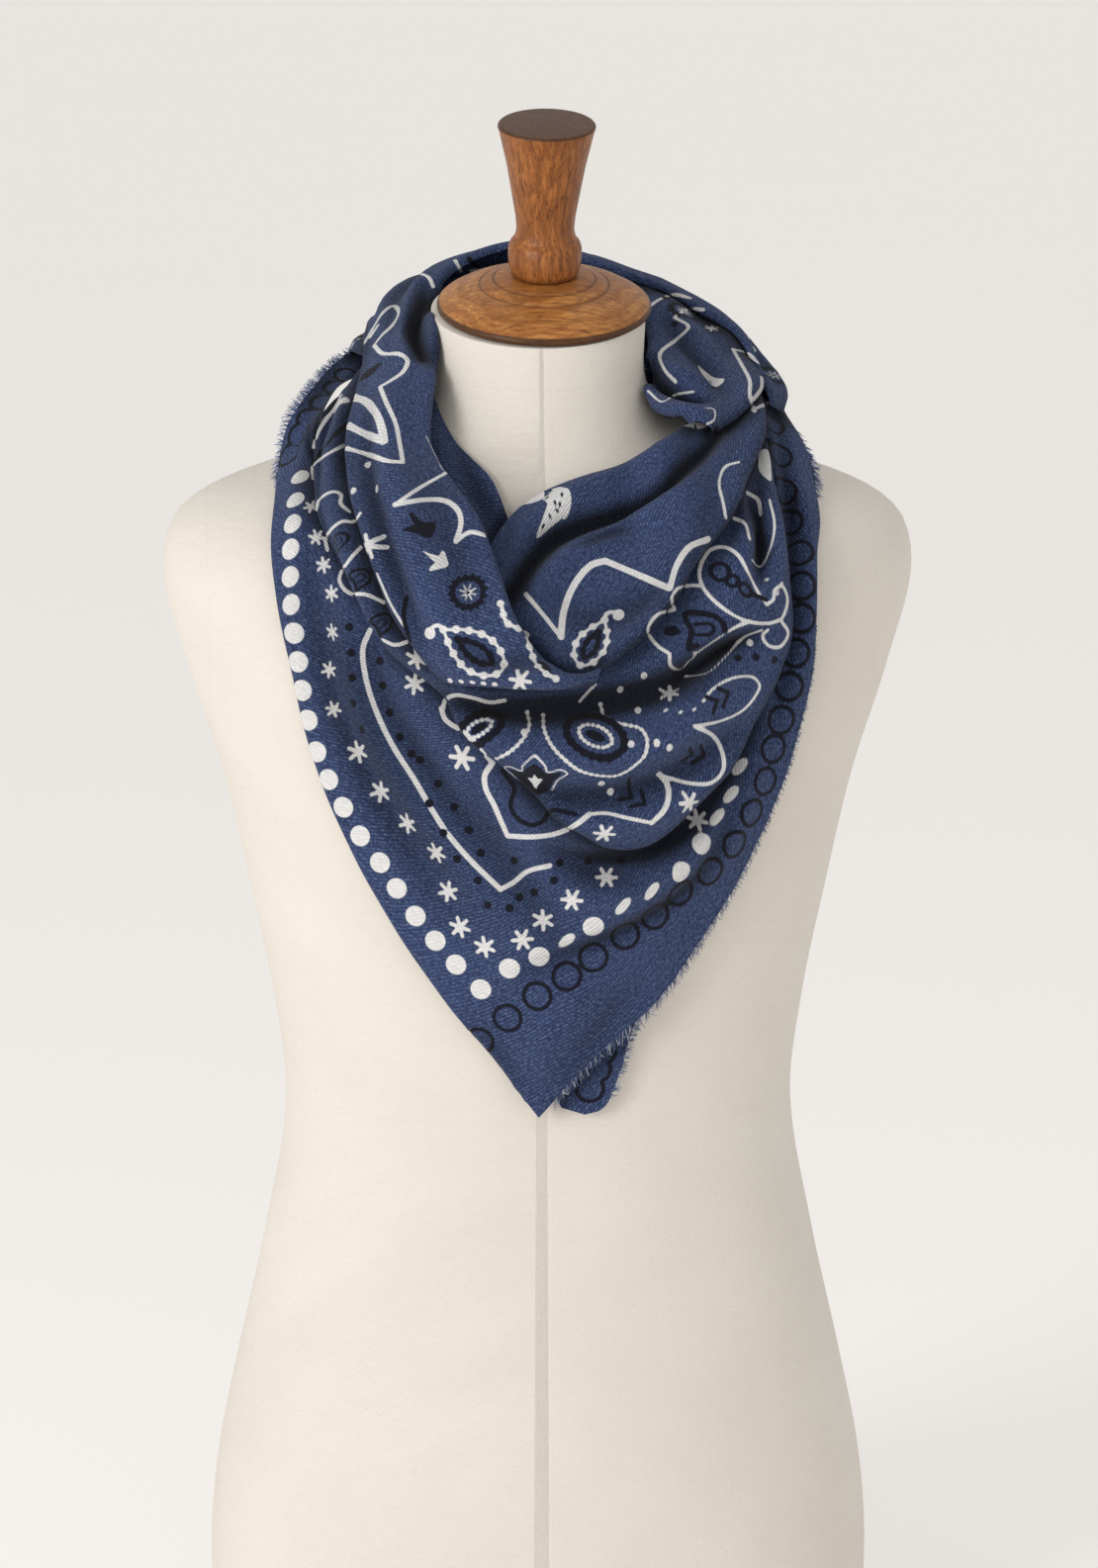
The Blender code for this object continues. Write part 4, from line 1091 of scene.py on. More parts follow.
# Rows of white beads: their radius and gap in mm and the places they run through.
Beads = namedtuple("Beads", "radius gap spots")
BEAD_ROWS = [
    Beads(1.9, 5.6, TOOTHED[2].spots),
    Beads(1.5, 5.0, [(455, 688), (478, 690), (500, 692)]),
]
# Filled shapes: the ink and the outline that they are seen with.
Patch = namedtuple("Patch", "ink spots")
PATCHES = [
    Patch("dark", [(360, 381), (366, 369), (386, 370), (389, 374), (374, 384)]),
    Patch("white", [(319, 442), (327, 419), (341, 401), (352, 405), (354, 412), (336, 419)]),
    Patch("white", [(494, 252), (512, 250), (516, 262), (506, 266)]),
    Patch("white", [(768, 453), (777, 450), (780, 472), (778, 490), (768, 480)]),
    Patch("white", [(548, 500), (562, 492), (572, 490), (577, 505), (570, 520), (556, 512)]),
    Patch("white", [(562, 492), (572, 490), (576, 512), (556, 534), (543, 544), (550, 520)]),
    Patch("white", [(523, 510), (540, 496), (549, 493), (548, 510)]),
    Patch("white", [(689, 435), (702, 426), (717, 423), (706, 434)]),
    Patch("white", [(705, 362), (713, 372), (721, 381), (731, 388), (722, 398), (711, 388)]),
    Patch("dark", [(673, 634), (684, 633), (687, 640), (678, 643), (671, 640)]),
    Patch("dark", [(538, 668), (548, 666), (556, 674), (556, 682), (545, 681)]),
]


def print_scarf():
    """Prints everything, in an order in which what is later lies over what is earlier."""
    for spread in DISCS_AND_STARS:
        print_spread(spread)
    for line in LINES:
        print_line(line)
    for patch in PATCHES:
        print_patch(patch)
    for spread in DOTS_AND_DASHES:
        print_spread(spread)
    for placed in STRAND_MOTIFS:
        print_motif(*placed)
    for line in TOOTHED:
        print_line(line)
        print_beads(Beads(TOOTH_RADIUS, TOOTH_GAP, line.spots))
    for placed in CHEST_MOTIFS:
        print_motif(*placed)
    for row in BEAD_ROWS:
        print_beads(row)
    for px, py in RINGS:
        seen = first_seen(px, py)
        if seen:
            add_ring(seen[0], seen[1])
    print_back()
    print_nape()
    print_under_corner()


def print_spread(spread):
    """Prints a motif at each of its places."""
    for px, py in spread.places:
        turn = spread.turn(px, py) if callable(spread.turn) else spread.turn
        print_motif(spread.motif, px, py, turn, spread.scale)


def print_patch(patch):
    """Prints a filled outline that is seen at places of the picture."""
    centre = np.mean(patch.spots, axis=0)
    seen = first_seen(*centre)
    if seen:
        flat = [((px - centre[0]) * PIXEL / MM, (centre[1] - py) * PIXEL / MM) for px, py in patch.spots]
        seen[0].stamp([fill(patch.ink, flat)], seen[1], seen[2])


def print_beads(row):
    """Prints small white discs along a line seen in the picture."""
    for px, py in smooth_line(row.spots, row.gap * MM / PIXEL):
        print_motif([disc("white", row.radius)], px, py)


def add_ring(cloth, place):
    """Keeps how far each point of a stretch is from the middle of the nearest dark ring."""
    cloth.ink["rings"] = np.minimum(cloth.ink["rings"], np.linalg.norm(cloth.points - place, axis=1))


def cloth_named(name):
    """One of the stretches."""
    return next(cloth for cloth in CLOTHS if cloth.name == name)


def print_back():
    """The same print across the back, where the picture doesn't show it."""
    back = cloth_named("scarf_back_under")
    for along in np.arange(0.10, 0.92, 0.043):
        add_ring(back, spot_on(back, along, 0.80)[0])
        on_share(back, BACK_DISC, along + 0.02, 0.50)
        on_share(back, STAR, along, 0.27)
    over = cloth_named("scarf_back_over")
    motifs = [paisley_motif(20), leaf_motif(28, 16), tulip_motif(),
              paisley_motif(20, flip=True), leaf_motif(28, 16), tulip_motif()]
    for number, along in enumerate(np.arange(0.12, 0.92, 0.11)):
        across = 0.48 + 0.06 * (-1) ** number
        on_share(over, motifs[number % len(motifs)], along, across, turn=40 * number)
        on_share(over, STAR, along + 0.055, 0.75)
        on_share(over, SMALL_DOT, along + 0.045, 0.22)


# A row of motifs behind the neck: its stretch, and the shares of its length it runs from, to and by.
Row = namedtuple("Row", "stretch first last step")
NAPE_ROWS = [Row("scarf_left_strand", 0.06, 0.42, 0.07), Row("scarf_right_crest", 0.05, 0.5, 0.12)]


def print_nape():
    """And the same print behind the neck."""
    motifs = [BLOOM, leaf_motif(26, 15, flip=True), CLOVER]
    for row in NAPE_ROWS:
        cloth = cloth_named(row.stretch)
        for number, along in enumerate(np.arange(row.first, row.last, row.step)):
            on_share(cloth, motifs[number % len(motifs)], along, 0.45, turn=55 * number)
            on_share(cloth, STAR, along + row.step / 2, 0.72)
            on_share(cloth, SMALL_DOT, along + row.step / 2, 0.3)


def print_under_corner():
    """The dark rings of the border on the end that peeps out under the point."""
    under = cloth_named("scarf_under_corner")
    for along in np.arange(0.1, 0.9, 0.16):
        add_ring(under, spot_on(under, along, 0.55)[0])


def spot_on(cloth, along, across):
    """The point, normal and way along at shares along and across a stretch."""
    columns, rows = cloth.grid.shape[:2]
    i = min(max(round(along * (columns - 1)), 1), columns - 2)
    j = round(across * (rows - 1))
    normal = cloth.normals.reshape(cloth.grid.shape)[i, j]
    return cloth.grid[i, j], normal, unit(cloth.grid[i + 1, j] - cloth.grid[i - 1, j])


def on_share(cloth, motif, along, across, turn=0.0):
    """Prints a motif at shares along and across a stretch."""
    place, normal, way = spot_on(cloth, along, across)
    cloth.stamp(motif, place, normal, turn, across=way)


# ---------------------------------------------------------------- materials
class Look:
    """A material, with short ways to add and join its nodes."""

    def __init__(self, name):
        self.surface = bpy.data.materials.new(name)
        self.surface.use_nodes = True
        self.nodes = self.surface.node_tree.nodes
        self.shader = self.nodes["Principled BSDF"]

    def add(self, kind, **settings):
        """A new node."""
        node = self.nodes.new(kind)
        for name, value in settings.items():
            setattr(node, name, value)
        return node

    def put(self, socket, value):
        """Sets a socket to a value or joins it to another socket."""
        if hasattr(value, "is_linked"):
            self.surface.node_tree.links.new(value, socket)
        else:
            socket.default_value = value

    def math(self, operation, first, second=0.0):
        """The outcome of a sum of one or two values."""
        node = self.add("ShaderNodeMath", operation=operation)
        for socket, value in zip(node.inputs, (first, second)):
            self.put(socket, value)
        return node.outputs[0]

    def between(self, value, low, high, start=0.0, end=1.0):
        """A value's place between two others, clamped, as a number from start to end."""
        node = self.add("ShaderNodeMapRange")
        for socket, given in zip(node.inputs, (value, low, high, start, end)):
            self.put(socket, given)
        return node.outputs[0]

    def mix(self, share, first, second, blend="MIX"):
        """A colour between two others."""
        node = self.add("ShaderNodeMix", data_type="RGBA", blend_type=blend)
        self.put(node.inputs["Factor"], share)
        self.put(node.inputs[6], first)
        self.put(node.inputs[7], second)
        return node.outputs[2]

    def attribute(self, name):
        """What the mesh keeps at its points under a name."""
        return self.add("ShaderNodeAttribute", attribute_name=name)

    def parts(self, vector):
        """A vector's three numbers."""
        node = self.add("ShaderNodeSeparateXYZ")
        self.put(node.inputs[0], vector)
        return node.outputs

    def noise(self, place, scale, detail=3.0, roughness=0.55):
        """Smooth noise over a place."""
        node = self.add("ShaderNodeTexNoise")
        self.put(node.inputs["Vector"], place)
        self.put(node.inputs["Scale"], scale)
        self.put(node.inputs["Detail"], detail)
        self.put(node.inputs["Roughness"], roughness)
        return node.outputs["Fac"]

    def moved(self, place, turn=(0.0, 0.0, 0.0), scale=(1.0, 1.0, 1.0)):
        """A place turned about the axes and scaled along them."""
        node = self.add("ShaderNodeMapping")
        self.put(node.inputs["Vector"], place)
        node.inputs["Rotation"].default_value = turn
        node.inputs["Scale"].default_value = scale
        return node.outputs[0]

    def bump(self, height, distance, strength=1.0, below=None):
        """A normal for a height, over the normal below it if there is one."""
        node = self.add("ShaderNodeBump")
        self.put(node.inputs["Height"], height)
        self.put(node.inputs["Distance"], distance)
        self.put(node.inputs["Strength"], strength)
        if below is not None:
            self.put(node.inputs["Normal"], below)
        return node.outputs[0]

    def finish(self, colour, roughness, normal=None, **sockets):
        """Sets the shader's sockets and gives the material."""
        self.put(self.shader.inputs["Base Color"], colour)
        if normal is not None:
            self.put(self.shader.inputs["Normal"], normal)
        self.put(self.shader.inputs["Roughness"], roughness)
        for name, value in sockets.items():
            self.put(self.shader.inputs[name.replace("_", " ")], value)
        return self.surface


def tone(red, green, blue):
    """A colour given in display values from 0 to 255, as the renderer's linear one."""
    def linear(value):
        value = value / 255
        return value / 12.92 if value <= 0.04045 else ((value + 0.055) / 1.055) ** 2.4
    return (linear(red), linear(green), linear(blue), 1.0)


TWILL_PITCH = 2.4 * MM           # from one diagonal of the weave to the next
RING_RADIUS = 7.0 * MM           # the dark rings of the border
RING_LINE = 2.1 * MM
CALICO_PITCH = 0.9 * MM
BROAD_RINGS = 6.5 * MM           # spacing of the wood's growth rings
FINE_RINGS = 2.2 * MM
RAGGED = 0.9 * MM                # how uneven the edges of the print are
SOFT_DARK = 0.25 * MM            # and how soft
SOFT_WHITE = 0.22 * MM

# The form's seams, and how many mm each is kept back to make it faint.
SEAMS = {"seam_centre": 0.0, "seam_neck": 0.0, "seam_waist": 0.0, "seam_panels": 0.5, "seam_arms": 0.0}

# The colours, in display values.
GROUND_DEEP = tone(34, 46, 80)
GROUND_LIGHT = tone(66, 82, 120)
GROUND_FLECK = tone(104, 120, 156)
GROUND_DARK_FLECK = tone(20, 28, 56)
NAVY_DEEP = tone(9, 11, 22)
NAVY_LIGHT = tone(22, 25, 42)
WHITE_DEEP = tone(196, 197, 200)
WHITE_LIGHT = tone(228, 227, 225)
# the dark of the shade painted into the folds
PAINTED_FOLD_SHADE = tone(20, 22, 32)
YARN_DEEP = tone(48, 62, 104)
YARN_LIGHT = tone(120, 136, 172)
YARN_WHITE = tone(214, 218, 226)
YARN_GRAIN = tone(40, 52, 92)
CALICO_DEEP = tone(220, 213, 204)
CALICO_LIGHT = tone(226, 220, 211)
CALICO_SLUB = tone(203, 191, 175)
CALICO_CROSS = tone(205, 193, 178)
CALICO_SEAM = tone(150, 136, 116)
WOOD_LIGHT = tone(200, 138, 74)
WOOD_DARK = tone(134, 78, 32)
WOOD_STAIN_AND_SHADE = tone(46, 26, 12)
KNOB_LIGHT = tone(170, 106, 52)
KNOB_DARK = tone(112, 62, 26)
FLOOR_DEEP = tone(244, 241, 238)
FLOOR_LIGHT = tone(245, 242, 239)
SKY = tone(246, 245, 243)


def twill_look(name):
    """Light brushed twill: a heathered blue ground printed off-white and navy, with shade painted into its
    folds.
    """
    look = Look(name)
    weave = look.attribute("weave").outputs["Vector"]
    along, across, _ = look.parts(weave)
    diagonal = look.math("ADD", along, across)
    wander = look.noise(weave, 160.0, 2.0)
    diagonal = look.math("ADD", diagonal, look.math("MULTIPLY", wander, 0.0022))
    wave = look.math("SINE", look.math("MULTIPLY", diagonal, 2 * math.pi / TWILL_PITCH))
    yarn = look.noise(look.moved(weave, (0, 0, math.radians(45)), (230.0, 820.0, 1.0)), 1.0, 3.0, 0.75)
    fleck = look.noise(weave, 560.0, 4.0, 0.85)
    worn = look.noise(weave, 30.0, 4.0)
    ground = look.mix(look.between(yarn, 0.38, 0.62), GROUND_DEEP, GROUND_LIGHT)
    ground = look.mix(look.between(fleck, 0.51, 0.62, 0.0, 0.75), ground, GROUND_FLECK)
    ground = look.mix(look.between(fleck, 0.48, 0.38, 0.0, 0.8), ground, GROUND_DARK_FLECK)
    ground = look.mix(look.between(wave, -0.1, 0.9, 0.0, 0.85), ground, GROUND_DEEP)
    ground = look.mix(look.between(worn, 0.35, 0.75, 0.0, 0.25), ground, GROUND_LIGHT)
    ragged = look.math("MULTIPLY", look.math("SUBTRACT", fleck, 0.5), RAGGED)

    def inked(ink, soft):
        """How much of an ink is at a place."""
        away = look.math("ADD", look.attribute(ink).outputs["Fac"], ragged)
        return look.between(away, soft, -soft)

    navy = look.mix(look.between(yarn, 0.3, 0.75), NAVY_DEEP, NAVY_LIGHT)
    white = look.mix(look.between(yarn, 0.25, 0.6), WHITE_DEEP, WHITE_LIGHT)
    white = look.mix(look.between(wave, -1.0, 1.0, 0.0, 0.3), white, WHITE_DEEP)
    rings = look.math("SUBTRACT", look.attribute("rings").outputs["Fac"], RING_RADIUS)
    rings = look.math("SUBTRACT", look.math("ABSOLUTE", rings), RING_LINE / 2)
    ringed = look.between(look.math("ADD", rings, ragged), SOFT_DARK, -SOFT_DARK)
    colour = look.mix(ringed, ground, navy)
    colour = look.mix(inked("dark", SOFT_DARK), colour, navy)
    # Painted shade: deep in a fold, at a turned edge or beside a later edge, the colours are multiplied
    # darker, the white less.
    deep = look.attribute("deep").outputs["Fac"]
    colour = look.mix(look.math("MULTIPLY", deep, 0.92), colour, PAINTED_FOLD_SHADE, "MULTIPLY")
    white = look.mix(look.math("MULTIPLY", deep, 0.5), white, PAINTED_FOLD_SHADE, "MULTIPLY")
    colour = look.mix(inked("white", SOFT_WHITE), colour, white)
    height = look.math("ADD", look.math("MULTIPLY", wave, 0.5), look.math("MULTIPLY", yarn, 1.6))
    return look.finish(colour, 0.9, look.bump(height, 0.35 * MM, 0.9),
                       Sheen_Weight=0.06, Sheen_Roughness=0.5, Specular_IOR_Level=0.2)


def fray_look():
    """Loose yarn: mostly blue threads, a few of them white."""
    look = Look("loose_yarn")
    thread = look.attribute("thread").outputs["Fac"]
    colour = look.mix(look.between(thread, 0.2, 0.8), YARN_DEEP, YARN_LIGHT)
    colour = look.mix(look.between(thread, 0.80, 0.86), colour, YARN_WHITE)
    place = look.add("ShaderNodeNewGeometry").outputs["Position"]
    grain = look.noise(place, 2500.0, 2.0)
    colour = look.mix(look.between(grain, 0.4, 0.7, 0.0, 0.4), colour, YARN_GRAIN)
    return look.finish(colour, 0.92, Sheen_Weight=0.25, Specular_IOR_Level=0.2)


def calico_look():
    """Cream calico, stretched smooth over the form, with its seams as fine grooves."""
    look = Look("form_calico")
    place = look.attribute("round").outputs["Vector"]
    threads = []
    for axis, way in enumerate(look.parts(place)[:2]):
        drift = look.math("MULTIPLY", look.noise(place, 90.0 + 20 * axis, 2.0), 0.0016)
        thread = look.math("MULTIPLY", look.math("ADD", way, drift), 2 * math.pi / CALICO_PITCH)
        threads.append(look.math("SINE", thread))
    weave = look.math("ADD", threads[0], threads[1])
    slub = look.noise(look.moved(place, scale=(260.0, 1500.0, 1.0)), 1.0)
    cross = look.noise(look.moved(place, scale=(1500.0, 260.0, 1.0)), 1.0)
    cloud = look.noise(place, 11.0, 4.0)
    colour = look.mix(look.between(cloud, 0.3, 0.7), CALICO_DEEP, CALICO_LIGHT)
    colour = look.mix(look.between(slub, 0.56, 0.74, 0.0, 0.35), colour, CALICO_SLUB)
    colour = look.mix(look.between(cross, 0.58, 0.76, 0.0, 0.30), colour, CALICO_CROSS)
    seam = 1.0
    for name, faint in SEAMS.items():
        away = look.math("ADD", look.math("ABSOLUTE", look.attribute(name).outputs["Fac"]), faint * MM)
        seam = look.math("MINIMUM", seam, away)
    colour = look.mix(look.between(seam, 0.2 * MM, 0.9 * MM, 0.035, 0.0), colour, CALICO_SEAM)
    groove = look.between(seam, 0.0, 1.6 * MM)
    pucker = look.math("MULTIPLY", look.between(seam, 9 * MM, 0.0), look.noise(place, 170.0, 2.0))
    deep = look.bump(look.math("ADD", groove, look.math("MULTIPLY", pucker, 0.5)), 0.14 * MM, 0.5)
    fine = look.math("ADD", look.math("MULTIPLY", weave, 0.25), look.math("ADD", slub, cross))
    return look.finish(colour, 0.9, look.bump(fine, 0.16 * MM, 0.7, deep),
                       Sheen_Weight=0.12, Sheen_Roughness=0.5, Specular_IOR_Level=0.25)


def wood_look(name, light, dark, lying=False):
    """Turned hardwood, oiled: grain upright or lying across, growth rings, open pores, and darker places kept
    at its points: stain, with painted shade at the cap's rim.
    """
    look = Look(name)
    place = look.attribute("turned").outputs["Vector"]
    if lying:
        place = look.moved(place, (0, math.radians(84), math.radians(28)))
    x, y, z = look.parts(place)
    drift = look.math("MULTIPLY", look.math("SUBTRACT", look.noise(place, 16.0), 0.5), 0.036)
    depth = look.math("ADD", look.math("ADD", x, look.math("MULTIPLY", y, 0.6)),
                      look.math("ADD", drift, look.math("MULTIPLY", z, 0.16)))
    band = look.math("SINE", look.math("MULTIPLY", depth, 2 * math.pi / BROAD_RINGS))
    fine = look.math("SINE", look.math("MULTIPLY", depth, 2 * math.pi / FINE_RINGS))
    streak = look.noise(look.moved(place, scale=(520.0, 520.0, 46.0)), 1.0, 4.0, 0.7)
    pores = look.noise(look.moved(place, scale=(1100.0, 1100.0, 130.0)), 1.0, 2.0, 0.6)
    cloud = look.noise(place, 34.0)
    colour = look.mix(look.between(streak, 0.32, 0.62), dark, light)
    colour = look.mix(look.between(band, 0.1, 1.0, 0.0, 0.5), colour, dark)
    colour = look.mix(look.between(fine, 0.3, 1.0, 0.0, 0.3), colour, dark)
    colour = look.mix(look.between(pores, 0.58, 0.68, 0.0, 0.7), colour, WOOD_STAIN_AND_SHADE)
    colour = look.mix(look.between(cloud, 0.45, 0.70, 0.0, 0.5), colour, dark)
    # darker where the points say: stain, painted shade under the cap's rim, the grooves and the knob's foot
    colour = look.mix(look.attribute("stain_and_shade").outputs["Fac"], colour, WOOD_STAIN_AND_SHADE)
    height = look.math("ADD", look.math("MULTIPLY", streak, 0.7), look.between(pores, 0.72, 0.6))
    return look.finish(colour, look.between(streak, 0.2, 0.8, 0.48, 0.36), look.bump(height, 0.12 * MM, 0.5),
                       Coat_Weight=0.05, Coat_Roughness=0.4, Specular_IOR_Level=0.28)


# ---------------------------------------------------------------- meshes
def mesh_object(name, points, faces, surface, values=None, vectors=None, sharp=50):
    """A mesh with numbers and vectors kept at its points."""
    mesh = bpy.data.meshes.new(name)
    faces = faces.tolist() if isinstance(faces, np.ndarray) else faces
    mesh.from_pydata(np.asarray(points).tolist(), [], faces)
    mesh.materials.append(surface)
    for key, numbers in (values or {}).items():
        kept = mesh.attributes.new(key, "FLOAT", "POINT")
        kept.data.foreach_set("value", np.asarray(numbers, dtype=np.float32))
    for key, places in (vectors or {}).items():
        kept = mesh.attributes.new(key, "FLOAT_VECTOR", "POINT")
        kept.data.foreach_set("vector", np.asarray(places, dtype=np.float32).reshape(-1))
    made = bpy.data.objects.new(name, mesh)
    bpy.context.collection.objects.link(made)
    mesh.shade_smooth()
    mesh.set_sharp_from_angle(angle=math.radians(sharp))
    return made


def cloth_object(cloth, surface):
    """The mesh of a stretch, its weave laid out in its own plane and its faces outward."""
    grid = cloth.grid
    middle = grid[:, grid.shape[1] // 2]
    along = np.concatenate([[0], np.cumsum(np.linalg.norm(np.diff(middle, axis=0), axis=1))])
    steps = np.linalg.norm(np.diff(grid, axis=1), axis=-1)
    across = np.concatenate([np.zeros((len(grid), 1)), np.cumsum(steps, axis=1)], axis=1)
    weave = np.stack([np.repeat(along[:, None], grid.shape[1], axis=1), across, across * 0], axis=-1)
    quads = grid_quads(*grid.shape[:2])
    facing = np.cross(np.gradient(grid, axis=0), np.gradient(grid, axis=1))
    if np.sum(facing * (grid - core_of(grid))) < 0:
        quads = quads[:, ::-1]
    # the fold depth is kept as "deep", which the look paints as shade
    return mesh_object(cloth.name, cloth.points, quads, surface, {**cloth.ink, "deep": cloth.deep},
                       {"weave": weave}, sharp=80)


def paint_shade_by_edges():
    """Paints shade at a stretch's turned edge, and on the strip beside a later stretch's edge, by counting
    them as deep in a fold too.
    """
    for number, cloth in enumerate(CLOTHS):
        if cloth.name in EDGE_SHADED_STRETCHES:
            inward = np.linalg.norm(cloth.grid - cloth.grid[:, -1:], axis=-1)
            edge = EDGE_SHADE_DEPTH * np.exp(-(inward / EDGE_SHADE_REACH) ** 2)
            cloth.deep = np.maximum(cloth.deep, edge.reshape(cloth.deep.shape))
        # painted shadow of the later stretches' edges on this one
        rims = [np.concatenate([over.grid[:, 0], over.grid[:, -1], over.grid[0], over.grid[-1]])
                for over in CLOTHS[number + 1:]]
        if not rims:
            continue
        rims = np.concatenate(rims)
        tree = KDTree(len(rims))
        for k, spot in enumerate(rims):
            tree.insert(spot, k)
        tree.balance()
        away = np.array([tree.find(point)[2] for point in cloth.points])
        cloth.deep = np.maximum(cloth.deep, np.exp(-(away / OVERLAP_SHADE_REACH) ** 2))


# ---------------------------------------------------------------- the form
def form_ring(section, sides):
    """One closed ring of the form, with its front, sides and back at their own heights."""
    angle = 2 * math.pi * np.arange(sides) / sides
    ahead = np.cos(angle)
    tilt = (section.front_z - section.back_z) / 2
    sag = (section.front_z + section.back_z) / 2 - section.side_z
    depth = np.where(ahead > 0, section.front_depth, section.back_depth)
    return np.stack([section.half_width * np.sin(angle), -depth * ahead,
                     section.side_z + tilt * ahead + sag * ahead ** 2], axis=-1)


def ring_faces(rings, sides):
    """The faces of a tube of rings of points."""
    faces = []
    for ring in range(rings - 1):
        for step in range(sides):
            first = ring * sides + step
            second = ring * sides + (step + 1) % sides
            faces.append((first, second, second + sides, first + sides))
    return faces


def dress_form(surface):
    """The form's body, closed at its base and at the top of its neck."""
    table = np.array(FORM_SECTIONS)
    rise = np.linalg.norm(np.diff(table[:, [1, 3]], axis=0), axis=1)
    marks = np.concatenate([[0], np.cumsum(rise)])
    sections = through(table, marks, np.linspace(0, marks[-1], FORM_RINGS))
    rings = np.stack([form_ring(Section(*section), FORM_SIDES) for section in sections])
    points = rings.reshape(-1, 3)
    faces = ring_faces(FORM_RINGS, FORM_SIDES)
    faces.append(tuple(reversed(range(FORM_SIDES))))
    faces.append(tuple(range((FORM_RINGS - 1) * FORM_SIDES, FORM_RINGS * FORM_SIDES)))
    walked = np.cumsum(np.linalg.norm(np.roll(rings, -1, axis=1) - rings, axis=-1), axis=1)
    climbed = np.concatenate([[0], np.cumsum(np.linalg.norm(np.diff(rings[:, 0], axis=0), axis=-1))])
    round_way = np.stack([walked, np.repeat(climbed[:, None], FORM_SIDES, axis=1), walked * 0], axis=-1)
    return mesh_object("form_body", points, faces, surface, form_seams(points),
                       {"round": round_way.reshape(-1, 3)}, sharp=60)


WAIST = 0.30                     # the height from which the centre and panel seams are shaped
WAIST_SEAM = 0.2985              # heights of the seams round the form
NECK_SEAM = 0.664
NECK_SEAM_TILT = 0.011           # how much higher the neck's seam is in front, and lower behind
NECK_SEAM_RISE = 0.010           # and how much higher at its sides
NECK_REACH = 0.06                # about how far the neck reaches from its middle
BOW = 0.002                      # how far the centre seam bows out from the waist to the neck
BOW_HEIGHT = 0.36
PANEL_SEAM = 0.052               # how far from the middle the panel seams are at the waist
PANEL_SEAM_SPREAD = 0.030        # how much further they are at the height below, above and under the waist
PANEL_SEAM_HEIGHT = 0.25
ARM_SEAM = 0.172                 # how far from the middle the arms' seams are


def form_seams(points):
    """How far each of the form's points is to one side or the other of each seam."""
    x, y, z = points.T
    centre = x - BOW * np.sin(math.pi * np.clip((z - WAIST) / BOW_HEIGHT, 0, 1))
    neck_line = NECK_SEAM - NECK_SEAM_TILT * y / NECK_REACH + NECK_SEAM_RISE * (np.abs(x) / NECK_REACH) ** 2
    spread = PANEL_SEAM_SPREAD * np.clip((z - WAIST) / PANEL_SEAM_HEIGHT, -1, 1) ** 2
    panels = np.abs(x) - (PANEL_SEAM + spread)
    return dict(zip(SEAMS, (centre, z - neck_line, z - WAIST_SEAM, panels, np.abs(x) - ARM_SEAM)))


def turned_piece(name, profile, base_height, surface, stain_and_shade):
    """A piece turned on a lathe, its corners eased, standing on the sloping top of the neck."""
    rows = [Turn(0.0, profile[0].height)] + list(profile) + [Turn(0.0, profile[-1].height)]
    outline = []
    for before, turn, after in zip(rows, rows[1:], rows[2:]):
        here = np.array(turn, dtype=float)
        ways = [np.array(other, dtype=float) - here for other in (before, after)]
        ease = [min(CORNER_EASE, np.linalg.norm(way) * 0.4) / max(np.linalg.norm(way), 1e-6) for way in ways]
        first, last = here + ways[0] * ease[0], here + ways[1] * ease[1]
        for share in (0, 0.33, 0.67, 1):
            outline.append(first * (1 - share) ** 2 + 2 * here * share * (1 - share) + last * share ** 2)
    points = []
    for radius, height in outline:
        for turn in 2 * math.pi * np.arange(TURNED_SIDES) / TURNED_SIDES:
            points.append((radius * MM * math.cos(turn), radius * MM * math.sin(turn),
                           height * MM + base_height))
    faces = ring_faces(len(outline), TURNED_SIDES)
    for ring, height in ((0, rows[0].height), (len(outline) - 1, rows[-1].height)):
        points.append((0.0, 0.0, height * MM + base_height))
        middle = len(points) - 1
        for step in range(TURNED_SIDES):
            pair = (ring * TURNED_SIDES + step, ring * TURNED_SIDES + (step + 1) % TURNED_SIDES)
            faces.append((pair[1], pair[0], middle) if ring == 0 else (*pair, middle))
    points = np.array(points)
    stain_and_shade_values = np.array([stain_and_shade(math.hypot(x, y) / MM, (z - base_height) / MM) for x, y, z in points])
    placed = points @ np.array(Matrix.Rotation(CAP_TILT, 3, "X")).T + np.array(NECK_CENTRE)
    return mesh_object(name, placed, faces, surface, {"stain_and_shade": stain_and_shade_values}, {"turned": points}, sharp=40)


RIM_RADIUS = 50                  # mm, the cap is darkened at its lower rim, partly by stain and partly by painted shade, out from here
RIM_HEIGHT = 4.5                 # and below here
RIM_STAIN_AND_SHADE = 0.85
GROOVE_RADII = (33.6, 26.4)      # mm
GROOVE_WIDTH = 0.9
GROOVE_DARKENING = 0.5               # how much darker the grooves are, and also the knob's foot
KNOB_TOP = 80.2                  # mm, the end grain is darker from here up
KNOB_TOP_STAIN = 0.75
KNOB_FOOT = 2.0                  # mm, how far up from its foot the knob's darkening fades


def cap_stain_and_shade(radius, height):
    """How dark the cap is made: its rim underneath, by stain and painted shade, and its grooves."""
    rim = RIM_STAIN_AND_SHADE if height < RIM_HEIGHT and radius > RIM_RADIUS else 0.0
    grooves = [GROOVE_DARKENING * math.exp(-((radius - middle) / GROOVE_WIDTH) ** 2) for middle in GROOVE_RADII]
    return min(1.0, rim + sum(grooves))


def knob_darkening(_, height):
    """How dark the knob is made: darker at its foot, and stained on the end grain of its top."""
    top = KNOB_TOP_STAIN if height > KNOB_TOP else 0.0
    return min(1.0, top + GROOVE_DARKENING * math.exp(-(height / KNOB_FOOT) ** 2))


# ---------------------------------------------------------------- loose ends
THREAD_RADIUS = 0.26 * MM
THREAD_STEPS = 5                 # rings of points along a thread
THREAD_SIDES = 3
ROOTED = 0.8 * MM                # how far inside the rim a thread starts


